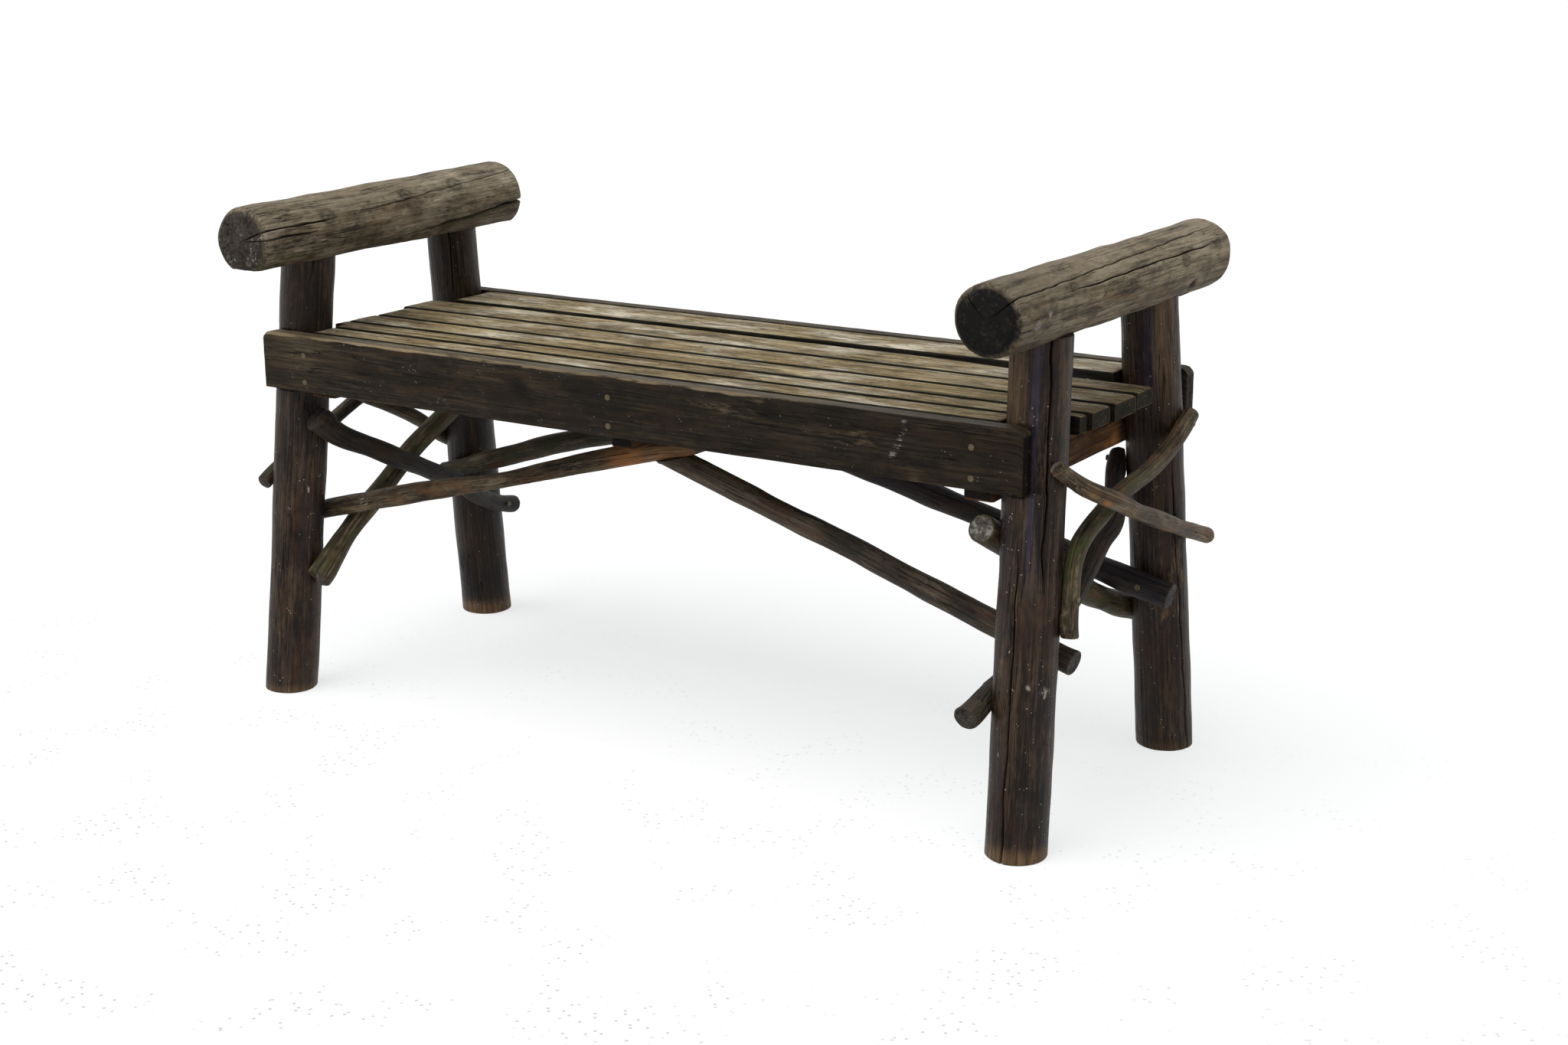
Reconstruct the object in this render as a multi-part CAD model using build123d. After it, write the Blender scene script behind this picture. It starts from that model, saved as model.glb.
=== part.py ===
from build123d import *
import math
import os

# Rustic log bench. Four round log legs run from the floor up into two log armrests. Two apron
# boards are let into the legs, three cross rails stand between the aprons, and six slats lie on
# the rails. Twelve natural branches brace the legs, crossed in pairs at the ends and scarfed in
# pairs under the middle rail. Millimetres; X runs along the bench, -Y is the front, +Z is up.

# ---- Driving dimensions: seat ----
seat_height = 450.0
slat_thickness = 20.0
slat_widths = (37.0, 36.0, 46.0, 56.0, 60.5, 75.5)  # front slat first
slat_gap = 4.0
wide_slat_gap = 9.0  # between the fifth and the sixth slat
slat_end_clearance = 0.5  # short slats to the legs that they stand between
slat_left_overhangs = (-18.0, -19.0, -22.0, -12.0)  # long slats, past the leg axes
slat_right_overhangs = (29.0, 32.0, 34.0, 32.0)
fifth_slat_wane = 17.0  # how far the fifth slat's back edge falls away near its right end
sixth_slat_taper = 15.0  # how much narrower the sixth slat is at its right end

# ---- Driving dimensions: aprons and cross rails ----
apron_thickness = 20.0
apron_height = 69.5
apron_corner_chamfer = 6.0
apron_notch_depth = 7.0  # into the legs, at half the apron's height
front_apron_overruns = (24.5, 7.0)  # past the left and the right leg axis
back_apron_overruns = (20.0, 29.0)
end_rail_width = 34.0
middle_rail_width = 30.0
rail_heights = {"cross_rail_left": 59.0, "cross_rail_middle": 66.0, "cross_rail_right": 66.0}
rail_clearance = 0.3
middle_rail_offset = -1.5  # from the middle of the bench

# ---- Driving dimensions: legs and armrests ----
front_leg_offsets = (496.3, 496.3)  # left and right leg axis from the bench's middle, at the apron
back_leg_offsets = (496.8, 493.3)
side_lean = 1.4  # degrees, inwards along the bench
depth_lean = 6.3  # degrees, inwards across the bench
leg_top_height = 537.0
front_left_radii = (31.6, 32.4)  # at the foot and at the top
front_right_radii = (32.8, 32.2)
back_left_radii = (33.0, 31.6)
back_right_radii = (32.5, 31.7)
tenon_radius = 14.0
tenon_length = 34.0
mortise_clearance = 0.3
left_arm_radii = (39.6, 43.5)  # at its front and its back end
left_arm_flat_depth = 33.0  # from the log's axis down to its flat underside
left_arm_reach = (130.5, 89.5)  # past the front and the back leg axis
left_arm_insets = (18.0, 7.0)  # from the leg axes in towards the seat, front and back
right_arm_radii = (37.5, 38.8)
right_arm_seat_depth = 30.7  # from the log's axis down to the flats over the legs
right_arm_reach = (124.8, 111.0)
right_arm_insets = (-0.5, -12.0)
arm_end_rounding = 9.5

# ---- Driving dimensions: branch braces and nails ----
cope_depth = 3.0  # how deep a brace is hollowed to sit on its leg
cope_clearance = 0.25
scarf_angle = 15.1  # degrees, the sloping joint under the middle rail
scarf_drop = 19.0  # of the scarf's middle, below the rail
scarf_offset = 32.0  # of the scarf's middle, along from where the branches meet
meeting_offset = -5.5  # of where the long branches meet, from the middle of the bench
scarf_clearance = 0.4
nail_radius = 1.5
nail_head_radius = 3.4
nail_head_thickness = 1.2
nail_clearance = 0.15
nail_head_depth = 1.4  # how deep a brace nail's head is sunk
leg_nail_hold = 32.0  # length of a nail inside the leg or rail that it holds to
apron_nail_length = 60.0
apron_nail_edge_distance = 24.5  # from the apron's top edge down to the upper nail
apron_nail_pitch = 32.5
apron_nail_insets = (8.0, 15.0)  # from the left and the right rail's outer face
rail_nail_heights = (10.0, 36.0)  # above the rail's underside
scarf_nail_offset = 9.0  # along from the rail's middle
middle_apron_nail_offset = -4.0  # along from the rail's middle
brad_radius = 1.0
brad_head_radius = 1.8
brad_length = 38.0
brad_offset = 9.0  # from the rail's middle
two_brad_width = 50.0  # slats at least this wide take two brads at each rail
two_brad_shares = (0.3, 0.65)  # of the slat width, from its front edge
section_spacing = 32.0  # between the round sections that a branch is drawn through

# ---- Places worked out from the driving dimensions ----
seat_inner_depth = sum(slat_widths) + slat_gap * len(slat_widths) + wide_slat_gap
apron_inner_y = seat_inner_depth / 2
apron_outer_y = apron_inner_y + apron_thickness
apron_bottom = seat_height - apron_height
apron_middle = seat_height - apron_height / 2
slat_bottom = seat_height - slat_thickness
rail_bottoms = {name: slat_bottom - height for name, height in rail_heights.items()}
middle_rail_bottom = rail_bottoms["cross_rail_middle"]
side_slope = math.tan(math.radians(side_lean))
depth_slope = math.tan(math.radians(depth_lean))
far = 2000.0  # larger than the bench, for cutting blocks

LEFT, RIGHT = -1, 1
FRONT, BACK = -1, 1


class Leg:
    """A log leg: where its axis runs and how thick it is at a height."""

    def __init__(self, name, side, face, offsets, radii):
        self.name = name
        self.side = side
        self.face = face
        self.offset = offsets[0] if side == LEFT else offsets[1]
        self.foot_radius, self.top_radius = radii

    def radius(self, z):
        return self.foot_radius + (self.top_radius - self.foot_radius) * z / leg_top_height

    def x(self, z):
        return self.side * (self.offset + (apron_middle - z) * side_slope)

    def y(self, z):
        at_apron = apron_inner_y - self.radius(apron_middle) + apron_notch_depth
        return self.face * (at_apron + (apron_middle - z) * depth_slope)

    def axis_plane(self, z):
        rise = Vector(self.x(z + 1) - self.x(z), self.y(z + 1) - self.y(z), 1)
        return Plane(origin=(self.x(z), self.y(z), z), z_dir=rise)

    def log(self, low, high, spare=0.0):
        """The bare log between two heights, square to its own axis, with spare on its radius."""
        plane = self.axis_plane(low)
        length = (high - low) / plane.z_dir.Z
        cone = Cone(self.radius(low) + spare, self.radius(high) + spare + 1e-4, length,
                    align=(Align.CENTER, Align.CENTER, Align.MIN))
        return plane * cone

    def inner_x(self, z):
        """The height's innermost point along the bench, towards the middle."""
        return self.x(z) - self.side * self.radius(z)

    def inner_y(self, z):
        return self.y(z) - self.face * self.radius(z)


legs = {
    "front_left": Leg("front_left", LEFT, FRONT, front_leg_offsets, front_left_radii),
    "front_right": Leg("front_right", RIGHT, FRONT, front_leg_offsets, front_right_radii),
    "back_left": Leg("back_left", LEFT, BACK, back_leg_offsets, back_left_radii),
    "back_right": Leg("back_right", RIGHT, BACK, back_leg_offsets, back_right_radii),
}


def block(x_range, y_range, z_range):
    """A box between two corners."""
    size = [high - low for low, high in (x_range, y_range, z_range)]
    middle = [(high + low) / 2 for low, high in (x_range, y_range, z_range)]
    return Pos(*middle) * Box(*size)


def peg(start, direction, length, radius):
    """A round bar from a start point along a direction."""
    bar = Cylinder(radius, length, align=(Align.CENTER, Align.CENTER, Align.MIN))
    return Plane(origin=start, z_dir=direction) * bar


# ---- Nails ----
class Nail:
    """A nail with its head's underside at a seat point, driven along a direction."""

    def __init__(self, seat, direction, length, radius=nail_radius, head_radius=nail_head_radius):
        self.seat = Vector(*seat)
        self.direction = Vector(*direction).normalized()
        self.length = length
        self.radius = radius
        self.head_radius = head_radius

    def solid(self):
        shank = peg(self.seat, self.direction, self.length, self.radius)
        head = peg(self.seat, -self.direction, nail_head_thickness, self.head_radius)
        return shank + head

    def hole(self):
        """The bore for the shank and the pocket for the head."""
        spare = nail_clearance
        bore_start = self.seat - self.direction * nail_head_depth
        bore = peg(bore_start, self.direction, self.length + nail_head_depth + spare, self.radius + spare)
        pocket = peg(self.seat, -self.direction, 10 * nail_head_depth, self.head_radius + spare)
        return bore + pocket


# ---- Braces ----
class Brace:
    """A branch from t = 0 at its leg to t = 1 at its other leg or at the middle rail.

    Each waypoint is (t, rise, bulge, radius): its distance along, how far it lies above the
    straight line, how far it stands off the plane of the joints, and the branch's radius there.
    """

    def __init__(self, name, start, end, outward, waypoints):
        self.name = name
        self.start = Vector(*start)
        self.end = Vector(*end)
        self.outward = Vector(*outward)
        self.waypoints = waypoints

    def point(self, t, rise=0.0, bulge=0.0):
        return self.start + (self.end - self.start) * t + Vector(0, 0, rise) + self.outward * bulge

    def radius_near(self, point):
        """The branch's radius at a point, between those of the two nearest waypoints."""
        gaps = []
        for t, rise, bulge, radius in self.waypoints:
            gaps.append(((self.point(t, rise, bulge) - point).length, radius))
        (near_gap, near_radius), (next_gap, next_radius) = sorted(gaps)[:2]
        share = near_gap / (near_gap + next_gap)
        return near_radius + (next_radius - near_radius) * share

    def solid(self):
        path = Spline(*[self.point(t, rise, bulge) for t, rise, bulge, radius in self.waypoints])
        count = math.ceil(path.length / section_spacing)
        sections = []
        for number in range(count + 1):
            centre = path @ (number / count)
            plane = Plane(origin=centre, z_dir=path % (number / count))
            sections.append(plane * Circle(self.radius_near(centre)))
        return loft(sections)


def leg_joint(leg, z, radius, along_x, towards):
    """The centre of a brace of this radius that is coped onto a leg.

    along_x is true for a brace at the bench's end, which sits beside the leg along X, and
    towards is -1 on the side towards the bench's middle and 1 on its outer side.
    """
    reach = leg.radius(z) + radius - cope_depth
    if along_x:
        return (leg.x(z) + leg.side * towards * reach, leg.y(z), z)
    return (leg.x(z), leg.y(z) + leg.face * towards * reach, z)


def end_brace(name, side, low_leg_is_front, low, high, outer, joint_radius, waypoints):
    """One branch of the crossed pair at an end of the bench, from its front to its back leg."""
    side_name = "left" if side == LEFT else "right"
    front_z, back_z = (low, high) if low_leg_is_front else (high, low)
    towards = 1 if outer else -1
    start = leg_joint(legs["front_" + side_name], front_z, joint_radius, True, towards)
    end = leg_joint(legs["back_" + side_name], back_z, joint_radius, True, towards)
    return Brace(name, start, end, (side * towards, 0, 0), waypoints)


def long_brace(name, leg_name, leg_z, rail_z, joint_radius, waypoints):
    """A branch from a leg up to the middle rail, on the legs' inner face."""
    leg = legs[leg_name]
    start = leg_joint(leg, leg_z, joint_radius, False, -1)
    end_y = leg_joint(leg, rail_z, joint_radius, False, -1)[1]
    end = (meeting_offset, end_y, rail_z)
    return Brace(name, start, end, (0, -leg.face, 0), waypoints)


# Heights of the joints on the legs follow the seat and are given as drops below it.
long_braces = [
    long_brace("brace_front_left", "front_left", seat_height - 237.5, seat_height - 102.5, 13.5, (
        (-0.035, -1.0, 0.0, 13.2), (0.0, 0.0, 0.0, 13.4), (0.17, 0.0, 0.0, 13.5),
        (0.36, -1.0, 0.0, 14.7), (0.55, -6.0, 0.0, 14.7), (0.75, -2.6, 0.0, 14.2),
        (0.92, 0.5, 0.0, 13.3), (1.0, 0.0, 0.0, 13.0), (1.14, -6.0, 0.0, 12.6))),
    long_brace("brace_front_right", "front_right", seat_height - 246.0, seat_height - 96.0, 14.0, (
        (-0.068, 1.5, 0.0, 14.6), (0.0, 0.0, 0.0, 14.6), (0.12, -1.0, 0.0, 13.8),
        (0.42, 2.0, 0.0, 13.3), (0.62, 1.0, 0.0, 13.3), (0.82, 0.0, 0.0, 13.4),
        (1.0, 0.0, 0.0, 13.4))),
    long_brace("brace_back_left", "back_left", seat_height - 238.0, seat_height - 102.0, 13.0, (
        (-0.032, 0.0, 0.0, 12.8), (0.0, 0.0, 0.0, 13.2), (0.15, 2.4, 0.0, 13.8),
        (0.39, 8.6, 0.0, 13.9), (0.56, 8.0, 0.0, 13.6), (0.8, 4.0, 0.0, 13.2),
        (0.94, 1.0, 0.0, 12.8), (1.14, -6.0, 0.0, 12.2))),
    long_brace("brace_back_right", "back_right", seat_height - 241.5, seat_height - 113.0, 15.0, (
        (-0.067, -1.0, 0.0, 15.8), (0.0, -1.6, 0.0, 15.6), (0.1, -2.0, 0.0, 15.0),
        (0.35, 1.0, 0.0, 14.6), (0.6, 0.8, 0.0, 14.6), (0.78, 0.4, 0.0, 14.4),
        (0.9, 3.6, 0.0, 14.2), (1.0, 8.0, 0.0, 14.0))),
]

end_braces = [
    end_brace("brace_left_inner_falling", LEFT, False, seat_height - 290.0, seat_height - 117.5,
              False, 12.0, (
        (-0.058, 2.5, 0.5, 15.8), (0.0, -2.4, 2.0, 15.4), (0.047, -6.9, 7.0, 14.0),
        (0.128, -7.2, 14.0, 13.2), (0.245, -6.7, 22.0, 13.0), (0.333, -6.1, 27.0, 12.4),
        (0.436, -4.7, 28.0, 12.0), (0.7, -4.0, 18.0, 12.2), (0.967, -3.1, 2.0, 12.2),
        (1.083, 6.0, 0.0, 11.8))),
    end_brace("brace_left_inner_rising", LEFT, True, seat_height - 296.0, seat_height - 108.0,
              False, 14.0, (
        (-0.025, -4.4, 0.0, 16.4), (0.045, 0.8, 0.0, 15.3), (0.116, 6.4, -1.0, 13.2),
        (0.199, 10.4, -1.5, 13.0), (0.355, 15.4, 0.0, 13.8), (0.536, 19.7, 0.0, 13.4),
        (0.706, 14.3, 0.0, 13.2), (1.0, 0.0, 0.0, 12.8),
        (1.06, -3.0, 0.0, 12.4))),
    end_brace("brace_left_outer_rising", LEFT, True, seat_height - 179.0, seat_height - 72.0,
              True, 9.5, (
        (-0.075, -6.0, 0.0, 9.6), (0.0, -1.5, 0.0, 9.8), (0.25, 3.5, 0.0, 9.6),
        (0.455, 7.5, 0.0, 9.4), (0.75, 5.0, 0.0, 9.4), (1.0, 0.0, 0.0, 9.2), (1.07, 0.0, 0.0, 9.0))),
    end_brace("brace_left_outer_falling", LEFT, False, seat_height - 208.0, seat_height - 48.0,
              True, 9.5, (
        (-0.05, 0.0, 0.0, 9.6), (0.0, 0.0, 0.0, 9.8), (0.25, 1.0, -12.0, 9.8),
        (0.5, 2.0, -21.5, 9.8), (0.714, 3.0, -20.0, 9.8), (0.887, -0.6, -8.0, 9.8),
        (1.0, 0.0, 0.0, 9.8), (1.07, 0.0, 0.0, 9.8))),
    end_brace("brace_right_inner_falling", RIGHT, False, seat_height - 290.0, seat_height - 120.5,
              False, 15.5, (
        (-0.078, -2.0, 0.0, 15.8), (0.0, -2.8, 0.0, 15.8), (0.3, -4.4, 1.0, 15.6),
        (0.6, -4.8, 1.0, 15.2), (0.82, -2.8, 1.5, 14.4), (1.0, 4.0, 0.0, 15.0),
        (1.08, 8.0, 0.0, 15.0))),
    end_brace("brace_right_inner_rising", RIGHT, True, seat_height - 272.0, seat_height - 105.0,
              False, 11.5, (
        (-0.147, -4.6, 3.0, 13.6), (-0.06, -12.6, 1.0, 13.4), (0.0, -18.6, 0.0, 13.0),
        (0.05, -23.6, 0.0, 12.6), (0.106, -27.4, -2.0, 12.2), (0.186, -27.0, -8.0, 11.8),
        (0.27, -24.0, -16.0, 11.6), (0.464, -19.6, -26.5, 11.6), (0.56, -14.5, -27.0, 11.8),
        (0.671, -16.0, -25.0, 12.0), (0.767, -26.0, -21.0, 12.2), (0.84, -27.0, -16.0, 12.4),
        (0.89, -9.0, -8.0, 12.2), (0.94, 2.0, -2.0, 12.2), (0.985, 8.0, 0.0, 11.8))),
    end_brace("brace_right_outer_falling", RIGHT, False, seat_height - 183.0, seat_height - 62.0,
              True, 9.5, (
        (-0.083, 13.1, -1.0, 9.0), (-0.02, 9.5, 0.0, 9.2), (0.03, 5.0, 5.0, 9.6),
        (0.09, 0.5, 14.0, 9.8), (0.193, -2.1, 22.0, 9.8), (0.356, -4.4, 21.5, 9.8),
        (0.555, -3.9, 16.0, 9.8), (0.769, -2.1, 9.0, 9.6), (1.0, 1.0, 0.0, 9.6),
        (1.177, 3.3, -1.0, 9.2))),
    end_brace("brace_right_outer_rising", RIGHT, True, seat_height - 185.0, seat_height - 54.0,
              True, 10.0, (
        (0.044, -41.0, 0.0, 10.6), (0.044, -10.3, 0.0, 10.0), (0.046, 9.6, 0.0, 10.0),
        (0.056, 27.5, 0.0, 10.2), (0.085, 41.5, 0.0, 10.6), (0.143, 45.7, -0.5, 10.4),
        (0.239, 41.8, -1.5, 10.0), (0.495, 24.5, -1.5, 10.0), (0.642, 9.7, -1.0, 10.2),
        (0.818, -0.4, 0.0, 10.2), (0.946, -3.0, 0.0, 10.0), (1.048, -1.3, 0.0, 9.6))),
]

# Where each end brace is nailed, as t along it and its rise there.
nail_places = {"brace_right_inner_falling": ((0.0, -2.8), (1.0, 4.0)),
               "brace_right_inner_rising": ((0.0, -18.6), (0.965, 5.0)),
               "brace_right_outer_rising": ((0.045, 0.0), (1.0, -2.0))}
usual_nail_places = ((0.0, 0.0), (1.0, 0.0))


def brace_nails(brace, leg_names, joint_radius):
    """Nails through an end brace into its two legs."""
    nails = []
    places = nail_places.get(brace.name, usual_nail_places)
    for leg_name, (t, rise) in zip(leg_names, places):
        centre = brace.point(t, rise)
        seat = centre + brace.outward * (joint_radius - nail_head_depth)
        length = 2 * joint_radius - cope_depth + leg_nail_hold
        nails.append((leg_name, Nail(seat, -brace.outward, length)))
    return nails


# ---- Legs ----
def build_leg(leg):
    """The log with a flat foot and shoulder, a notch for its apron and a round tenon."""
    spare_length = leg.top_radius
    log = leg.log(-spare_length, leg_top_height + spare_length)
    body = log & block((-far, far), (-far, far), (0, leg_top_height))
    tenon_start = leg.axis_plane(leg_top_height - tenon_radius)
    body += tenon_start * Cylinder(tenon_radius, tenon_length + tenon_radius,
                                   align=(Align.CENTER, Align.CENTER, Align.MIN))
    notch_y = sorted((leg.face * apron_inner_y, leg.face * far))
    return body - block((-far, far), notch_y, (apron_bottom, seat_height))


def mortise(leg):
    """The hole that a leg's tenon fits, bored along the leg's axis."""
    start = leg.axis_plane(leg_top_height - tenon_radius)
    depth = tenon_length + tenon_radius + mortise_clearance
    return start * Cylinder(tenon_radius + mortise_clearance, depth,
                            align=(Align.CENTER, Align.CENTER, Align.MIN))


# ---- Armrests ----
def arm_log(front_leg, back_leg, depth, reach, insets, radii):
    """A tapered log lying over two legs, with rounded ends."""
    z = leg_top_height + depth
    front_x = front_leg.x(leg_top_height) - front_leg.side * insets[0]
    back_x = back_leg.x(leg_top_height) - back_leg.side * insets[1]
    front = Vector(front_x, front_leg.y(leg_top_height) - reach[0], z)
    back = Vector(back_x, back_leg.y(leg_top_height) + reach[1], z)
    bar = Cone(*radii, (back - front).length, align=(Align.CENTER, Align.CENTER, Align.MIN))
    bar = fillet(bar.edges().filter_by(GeomType.CIRCLE), arm_end_rounding)
    return Plane(origin=front, z_dir=back - front) * bar


def left_armrest():
    """The left log, flat along its whole underside."""
    front_leg, back_leg = legs["front_left"], legs["back_left"]
    log = arm_log(front_leg, back_leg, left_arm_flat_depth, left_arm_reach, left_arm_insets,
                  left_arm_radii)
    log -= block((-far, far), (-far, far), (0, leg_top_height))
    return log - mortise(front_leg) - mortise(back_leg)


def right_armrest():
    """The right log, round, with a flat seat cut over each leg."""
    front_leg, back_leg = legs["front_right"], legs["back_right"]
    log = arm_log(front_leg, back_leg, right_arm_seat_depth, right_arm_reach, right_arm_insets,
                  right_arm_radii)
    hang = max(right_arm_radii) - right_arm_seat_depth
    for leg in (front_leg, back_leg):
        half_seat = leg.top_radius / math.cos(math.radians(depth_lean)) + mortise_clearance
        half_seat += hang / 2 * depth_slope
        middle = leg.y(leg_top_height - hang / 2)
        seat_y = (middle - half_seat, middle + half_seat)
        log -= block((-far, far), seat_y, (0, leg_top_height))
        log -= mortise(leg)
    return log


# ---- Aprons ----
def build_apron(face, offsets, overruns):
    """A board with its two top corners chamfered."""
    left = -offsets[0] - overruns[0]
    right = offsets[1] + overruns[1]
    y_range = sorted((face * apron_inner_y, face * apron_outer_y))
    board = block((left, right), y_range, (apron_bottom, seat_height))
    corners = board.edges().filter_by(Axis.Y).group_by(Axis.Z)[-1]
    return chamfer(corners, apron_corner_chamfer)


# ---- Cross rails ----
def end_rail_range(side):
    """The X range of the rail that stands against the legs at one end."""
    pair = [leg for leg in legs.values() if leg.side == side]
    outer = min(abs(leg.inner_x(slat_bottom)) for leg in pair) - rail_clearance
    return sorted((side * outer, side * (outer - end_rail_width)))


rail_ranges = {
    "cross_rail_left": end_rail_range(LEFT),
    "cross_rail_middle": (middle_rail_offset - middle_rail_width / 2,
                          middle_rail_offset + middle_rail_width / 2),
    "cross_rail_right": end_rail_range(RIGHT),
}


def build_rail(name):
    return block(rail_ranges[name], (-apron_inner_y, apron_inner_y),
                 (rail_bottoms[name], slat_bottom))


# ---- Slats ----
def slat_fronts():
    """The front edge of each slat, from the front apron to the back one."""
    fronts = []
    y = -apron_inner_y + slat_gap
    for number, width in enumerate(slat_widths):
        fronts.append(y)
        y += width + (wide_slat_gap if number == len(slat_widths) - 2 else slat_gap)
    return fronts


def slat_outline(number, left, right):
    """The slat's corners seen from above."""
    front = slat_fronts()[number]
    back = front + slat_widths[number]
    length = right - left
    if number == 4:
        wane_start = right - 0.25 * length
        wane_end = right - 0.11 * length
        low_back = back - fifth_slat_wane
        return [(left, front), (right, front), (right, low_back), (wane_end, low_back),
                (wane_start, back), (left + 0.1 * length, back), (left, back - 4.0)]
    if number == 5:
        return [(left, front), (right, front + sixth_slat_taper), (right, back), (left, back)]
    return [(left, front), (right, front), (right, back), (left, back)]


def between_legs(face):
    """The X range that is clear between the two legs of a face, at the slats."""
    pair = [leg for leg in legs.values() if leg.face == face]
    reach = min(abs(leg.inner_x(seat_height)) for leg in pair) - slat_end_clearance
    return -reach, reach


def build_slat(number):
    """A short slat between two legs, or a long one that runs past them."""
    if number == 0:
        left, right = between_legs(FRONT)
    elif number == len(slat_widths) - 1:
        left, right = between_legs(BACK)
    else:
        left = -front_leg_offsets[0] - slat_left_overhangs[number - 1]
        right = front_leg_offsets[1] + slat_right_overhangs[number - 1]
    outline = make_face(Polyline(*slat_outline(number, left, right), close=True))
    board = Pos(0, 0, slat_bottom) * extrude(outline, slat_thickness)
    for leg in legs.values():
        # A long slat that meets a leg is notched square around it.
        x_start = leg.inner_x(seat_height) - leg.side * slat_end_clearance
        y_start = leg.inner_y(seat_height) - leg.face * slat_end_clearance
        x_range = sorted((x_start, leg.side * far))
        y_range = sorted((y_start, leg.face * far))
        board -= block(x_range, y_range, (0, far))
    return board


# ---- Make the pieces ----
leg_solids = {name: build_leg(leg) for name, leg in legs.items()}
aprons = {
    "apron_front": build_apron(FRONT, front_leg_offsets, front_apron_overruns),
    "apron_back": build_apron(BACK, back_leg_offsets, back_apron_overruns),
}
rails = {name: build_rail(name) for name in rail_ranges}
slats = {f"seat_slat_{number + 1}": build_slat(number) for number in range(len(slat_widths))}
armrests = {"armrest_left": left_armrest(), "armrest_right": right_armrest()}

# The nails, each in a hole through the piece that it fastens and into the piece that holds it.
nail_solids = {"brace_nails": [], "apron_nails": [], "rail_nails": [], "slat_brads": []}
solids = {}
solids.update({"leg_" + name: solid for name, solid in leg_solids.items()})
solids.update(armrests)
solids.update(aprons)
solids.update(rails)
solids.update(slats)


def drive(nail, group, *held):
    """Adds a nail to its group and bores the named pieces for it."""
    nail_solids[group].append(nail.solid())
    for name in held:
        solids[name] -= nail.hole()


# The braces, coped onto their legs; the long ones are scarfed together under the middle rail.
scarf_point = (meeting_offset + scarf_offset, 0, middle_rail_bottom - scarf_drop)
scarf_normal = (-math.sin(math.radians(scarf_angle)), 0, math.cos(math.radians(scarf_angle)))
scarf_plane = Plane(origin=scarf_point, x_dir=(0, 1, 0), z_dir=scarf_normal)
above_scarf = scarf_plane * Pos(0, 0, far / 2) * Box(far, far, far)
below_scarf = scarf_plane * Pos(0, 0, -far / 2 - scarf_clearance) * Box(far, far, far)

for brace in long_braces:
    leg_name = brace.name.removeprefix("brace_")
    leg = legs[leg_name]
    solid = brace.solid() - leg.log(0, leg_top_height, cope_clearance)
    solid &= block((-far, far), (-far, far), (0, middle_rail_bottom))
    solid &= above_scarf if leg.side == LEFT else below_scarf
    solids[brace.name] = solid
    radius = brace.waypoints[1][3]
    seat = brace.point(0) + brace.outward * (radius - nail_head_depth)
    length = 2 * radius - cope_depth + leg_nail_hold
    drive(Nail(seat, -brace.outward, length), "brace_nails", brace.name, "leg_" + leg_name)

for upper, lower in (long_braces[0:2], long_braces[2:4]):
    # One nail goes up through both tips of a scarf into the middle rail.
    nail_x = middle_rail_offset + scarf_nail_offset
    share = (nail_x - lower.start.X) / (lower.end.X - lower.start.X)
    centre = lower.point(share, lower.waypoints[-1][1])
    seat = centre - Vector(0, 0, lower.waypoints[-1][3] - nail_head_depth)
    nail = Nail(seat, (0, 0, 1), middle_rail_bottom - seat.Z + leg_nail_hold)
    drive(nail, "brace_nails", upper.name, lower.name, "cross_rail_middle")

for brace in end_braces:
    side_name = "left" if brace.start.X < 0 else "right"
    leg_names = ("front_" + side_name, "back_" + side_name)
    solid = brace.solid()
    for leg_name in leg_names:
        solid -= legs[leg_name].log(0, leg_top_height, cope_clearance)
    solids[brace.name] = solid
    for leg_name, nail in brace_nails(brace, leg_names, brace.waypoints[1][3]):
        drive(nail, "brace_nails", brace.name, "leg_" + leg_name)

# Two nails through the apron into the end of each rail, with their heads flush.
apron_nail_places = {
    "cross_rail_left": rail_ranges["cross_rail_left"][0] + apron_nail_insets[0],
    "cross_rail_middle": middle_rail_offset + middle_apron_nail_offset,
    "cross_rail_right": rail_ranges["cross_rail_right"][1] - apron_nail_insets[1],
}
for apron_name, face in (("apron_front", FRONT), ("apron_back", BACK)):
    for rail_name, x in apron_nail_places.items():
        for row in range(2):
            z = seat_height - apron_nail_edge_distance - row * apron_nail_pitch
            seat = (x, face * (apron_outer_y - nail_head_thickness), z)
            nail = Nail(seat, (0, -face, 0), apron_nail_length)
            drive(nail, "apron_nails", apron_name, rail_name)

# Two nails from the inside of each end rail into each leg that it stands against.
for leg in legs.values():
    rail_name = "cross_rail_left" if leg.side == LEFT else "cross_rail_right"
    inner_face = leg.side * min(abs(edge) for edge in rail_ranges[rail_name])
    for height in rail_nail_heights:
        z = rail_bottoms[rail_name] + height
        seat = (inner_face + leg.side * nail_head_thickness, leg.y(z), z)
        nail = Nail(seat, (leg.side, 0, 0), end_rail_width + leg_nail_hold)
        drive(nail, "rail_nails", rail_name, "leg_" + leg.name)

# Brads through the slats into the rails: one in a narrow slat, two in a wide one.
for number, (front, width) in enumerate(zip(slat_fronts(), slat_widths)):
    shares = two_brad_shares if width >= two_brad_width else (0.5,)
    for rail_name, (low, high) in rail_ranges.items():
        for share in shares:
            y = front + share * width
            is_outer = len(shares) == 1 or (share > 0.5) == (y > 0)
            x = (low + high) / 2 + (brad_offset if is_outer else -brad_offset)
            brad = Nail((x, y, seat_height - nail_head_thickness), (0, 0, -1),
                        brad_length - nail_head_thickness, brad_radius, brad_head_radius)
            drive(brad, "slat_brads", f"seat_slat_{number + 1}", rail_name)

for group, members in nail_solids.items():
    solids[group] = Compound([solid for member in members for solid in member.solids()])

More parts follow.
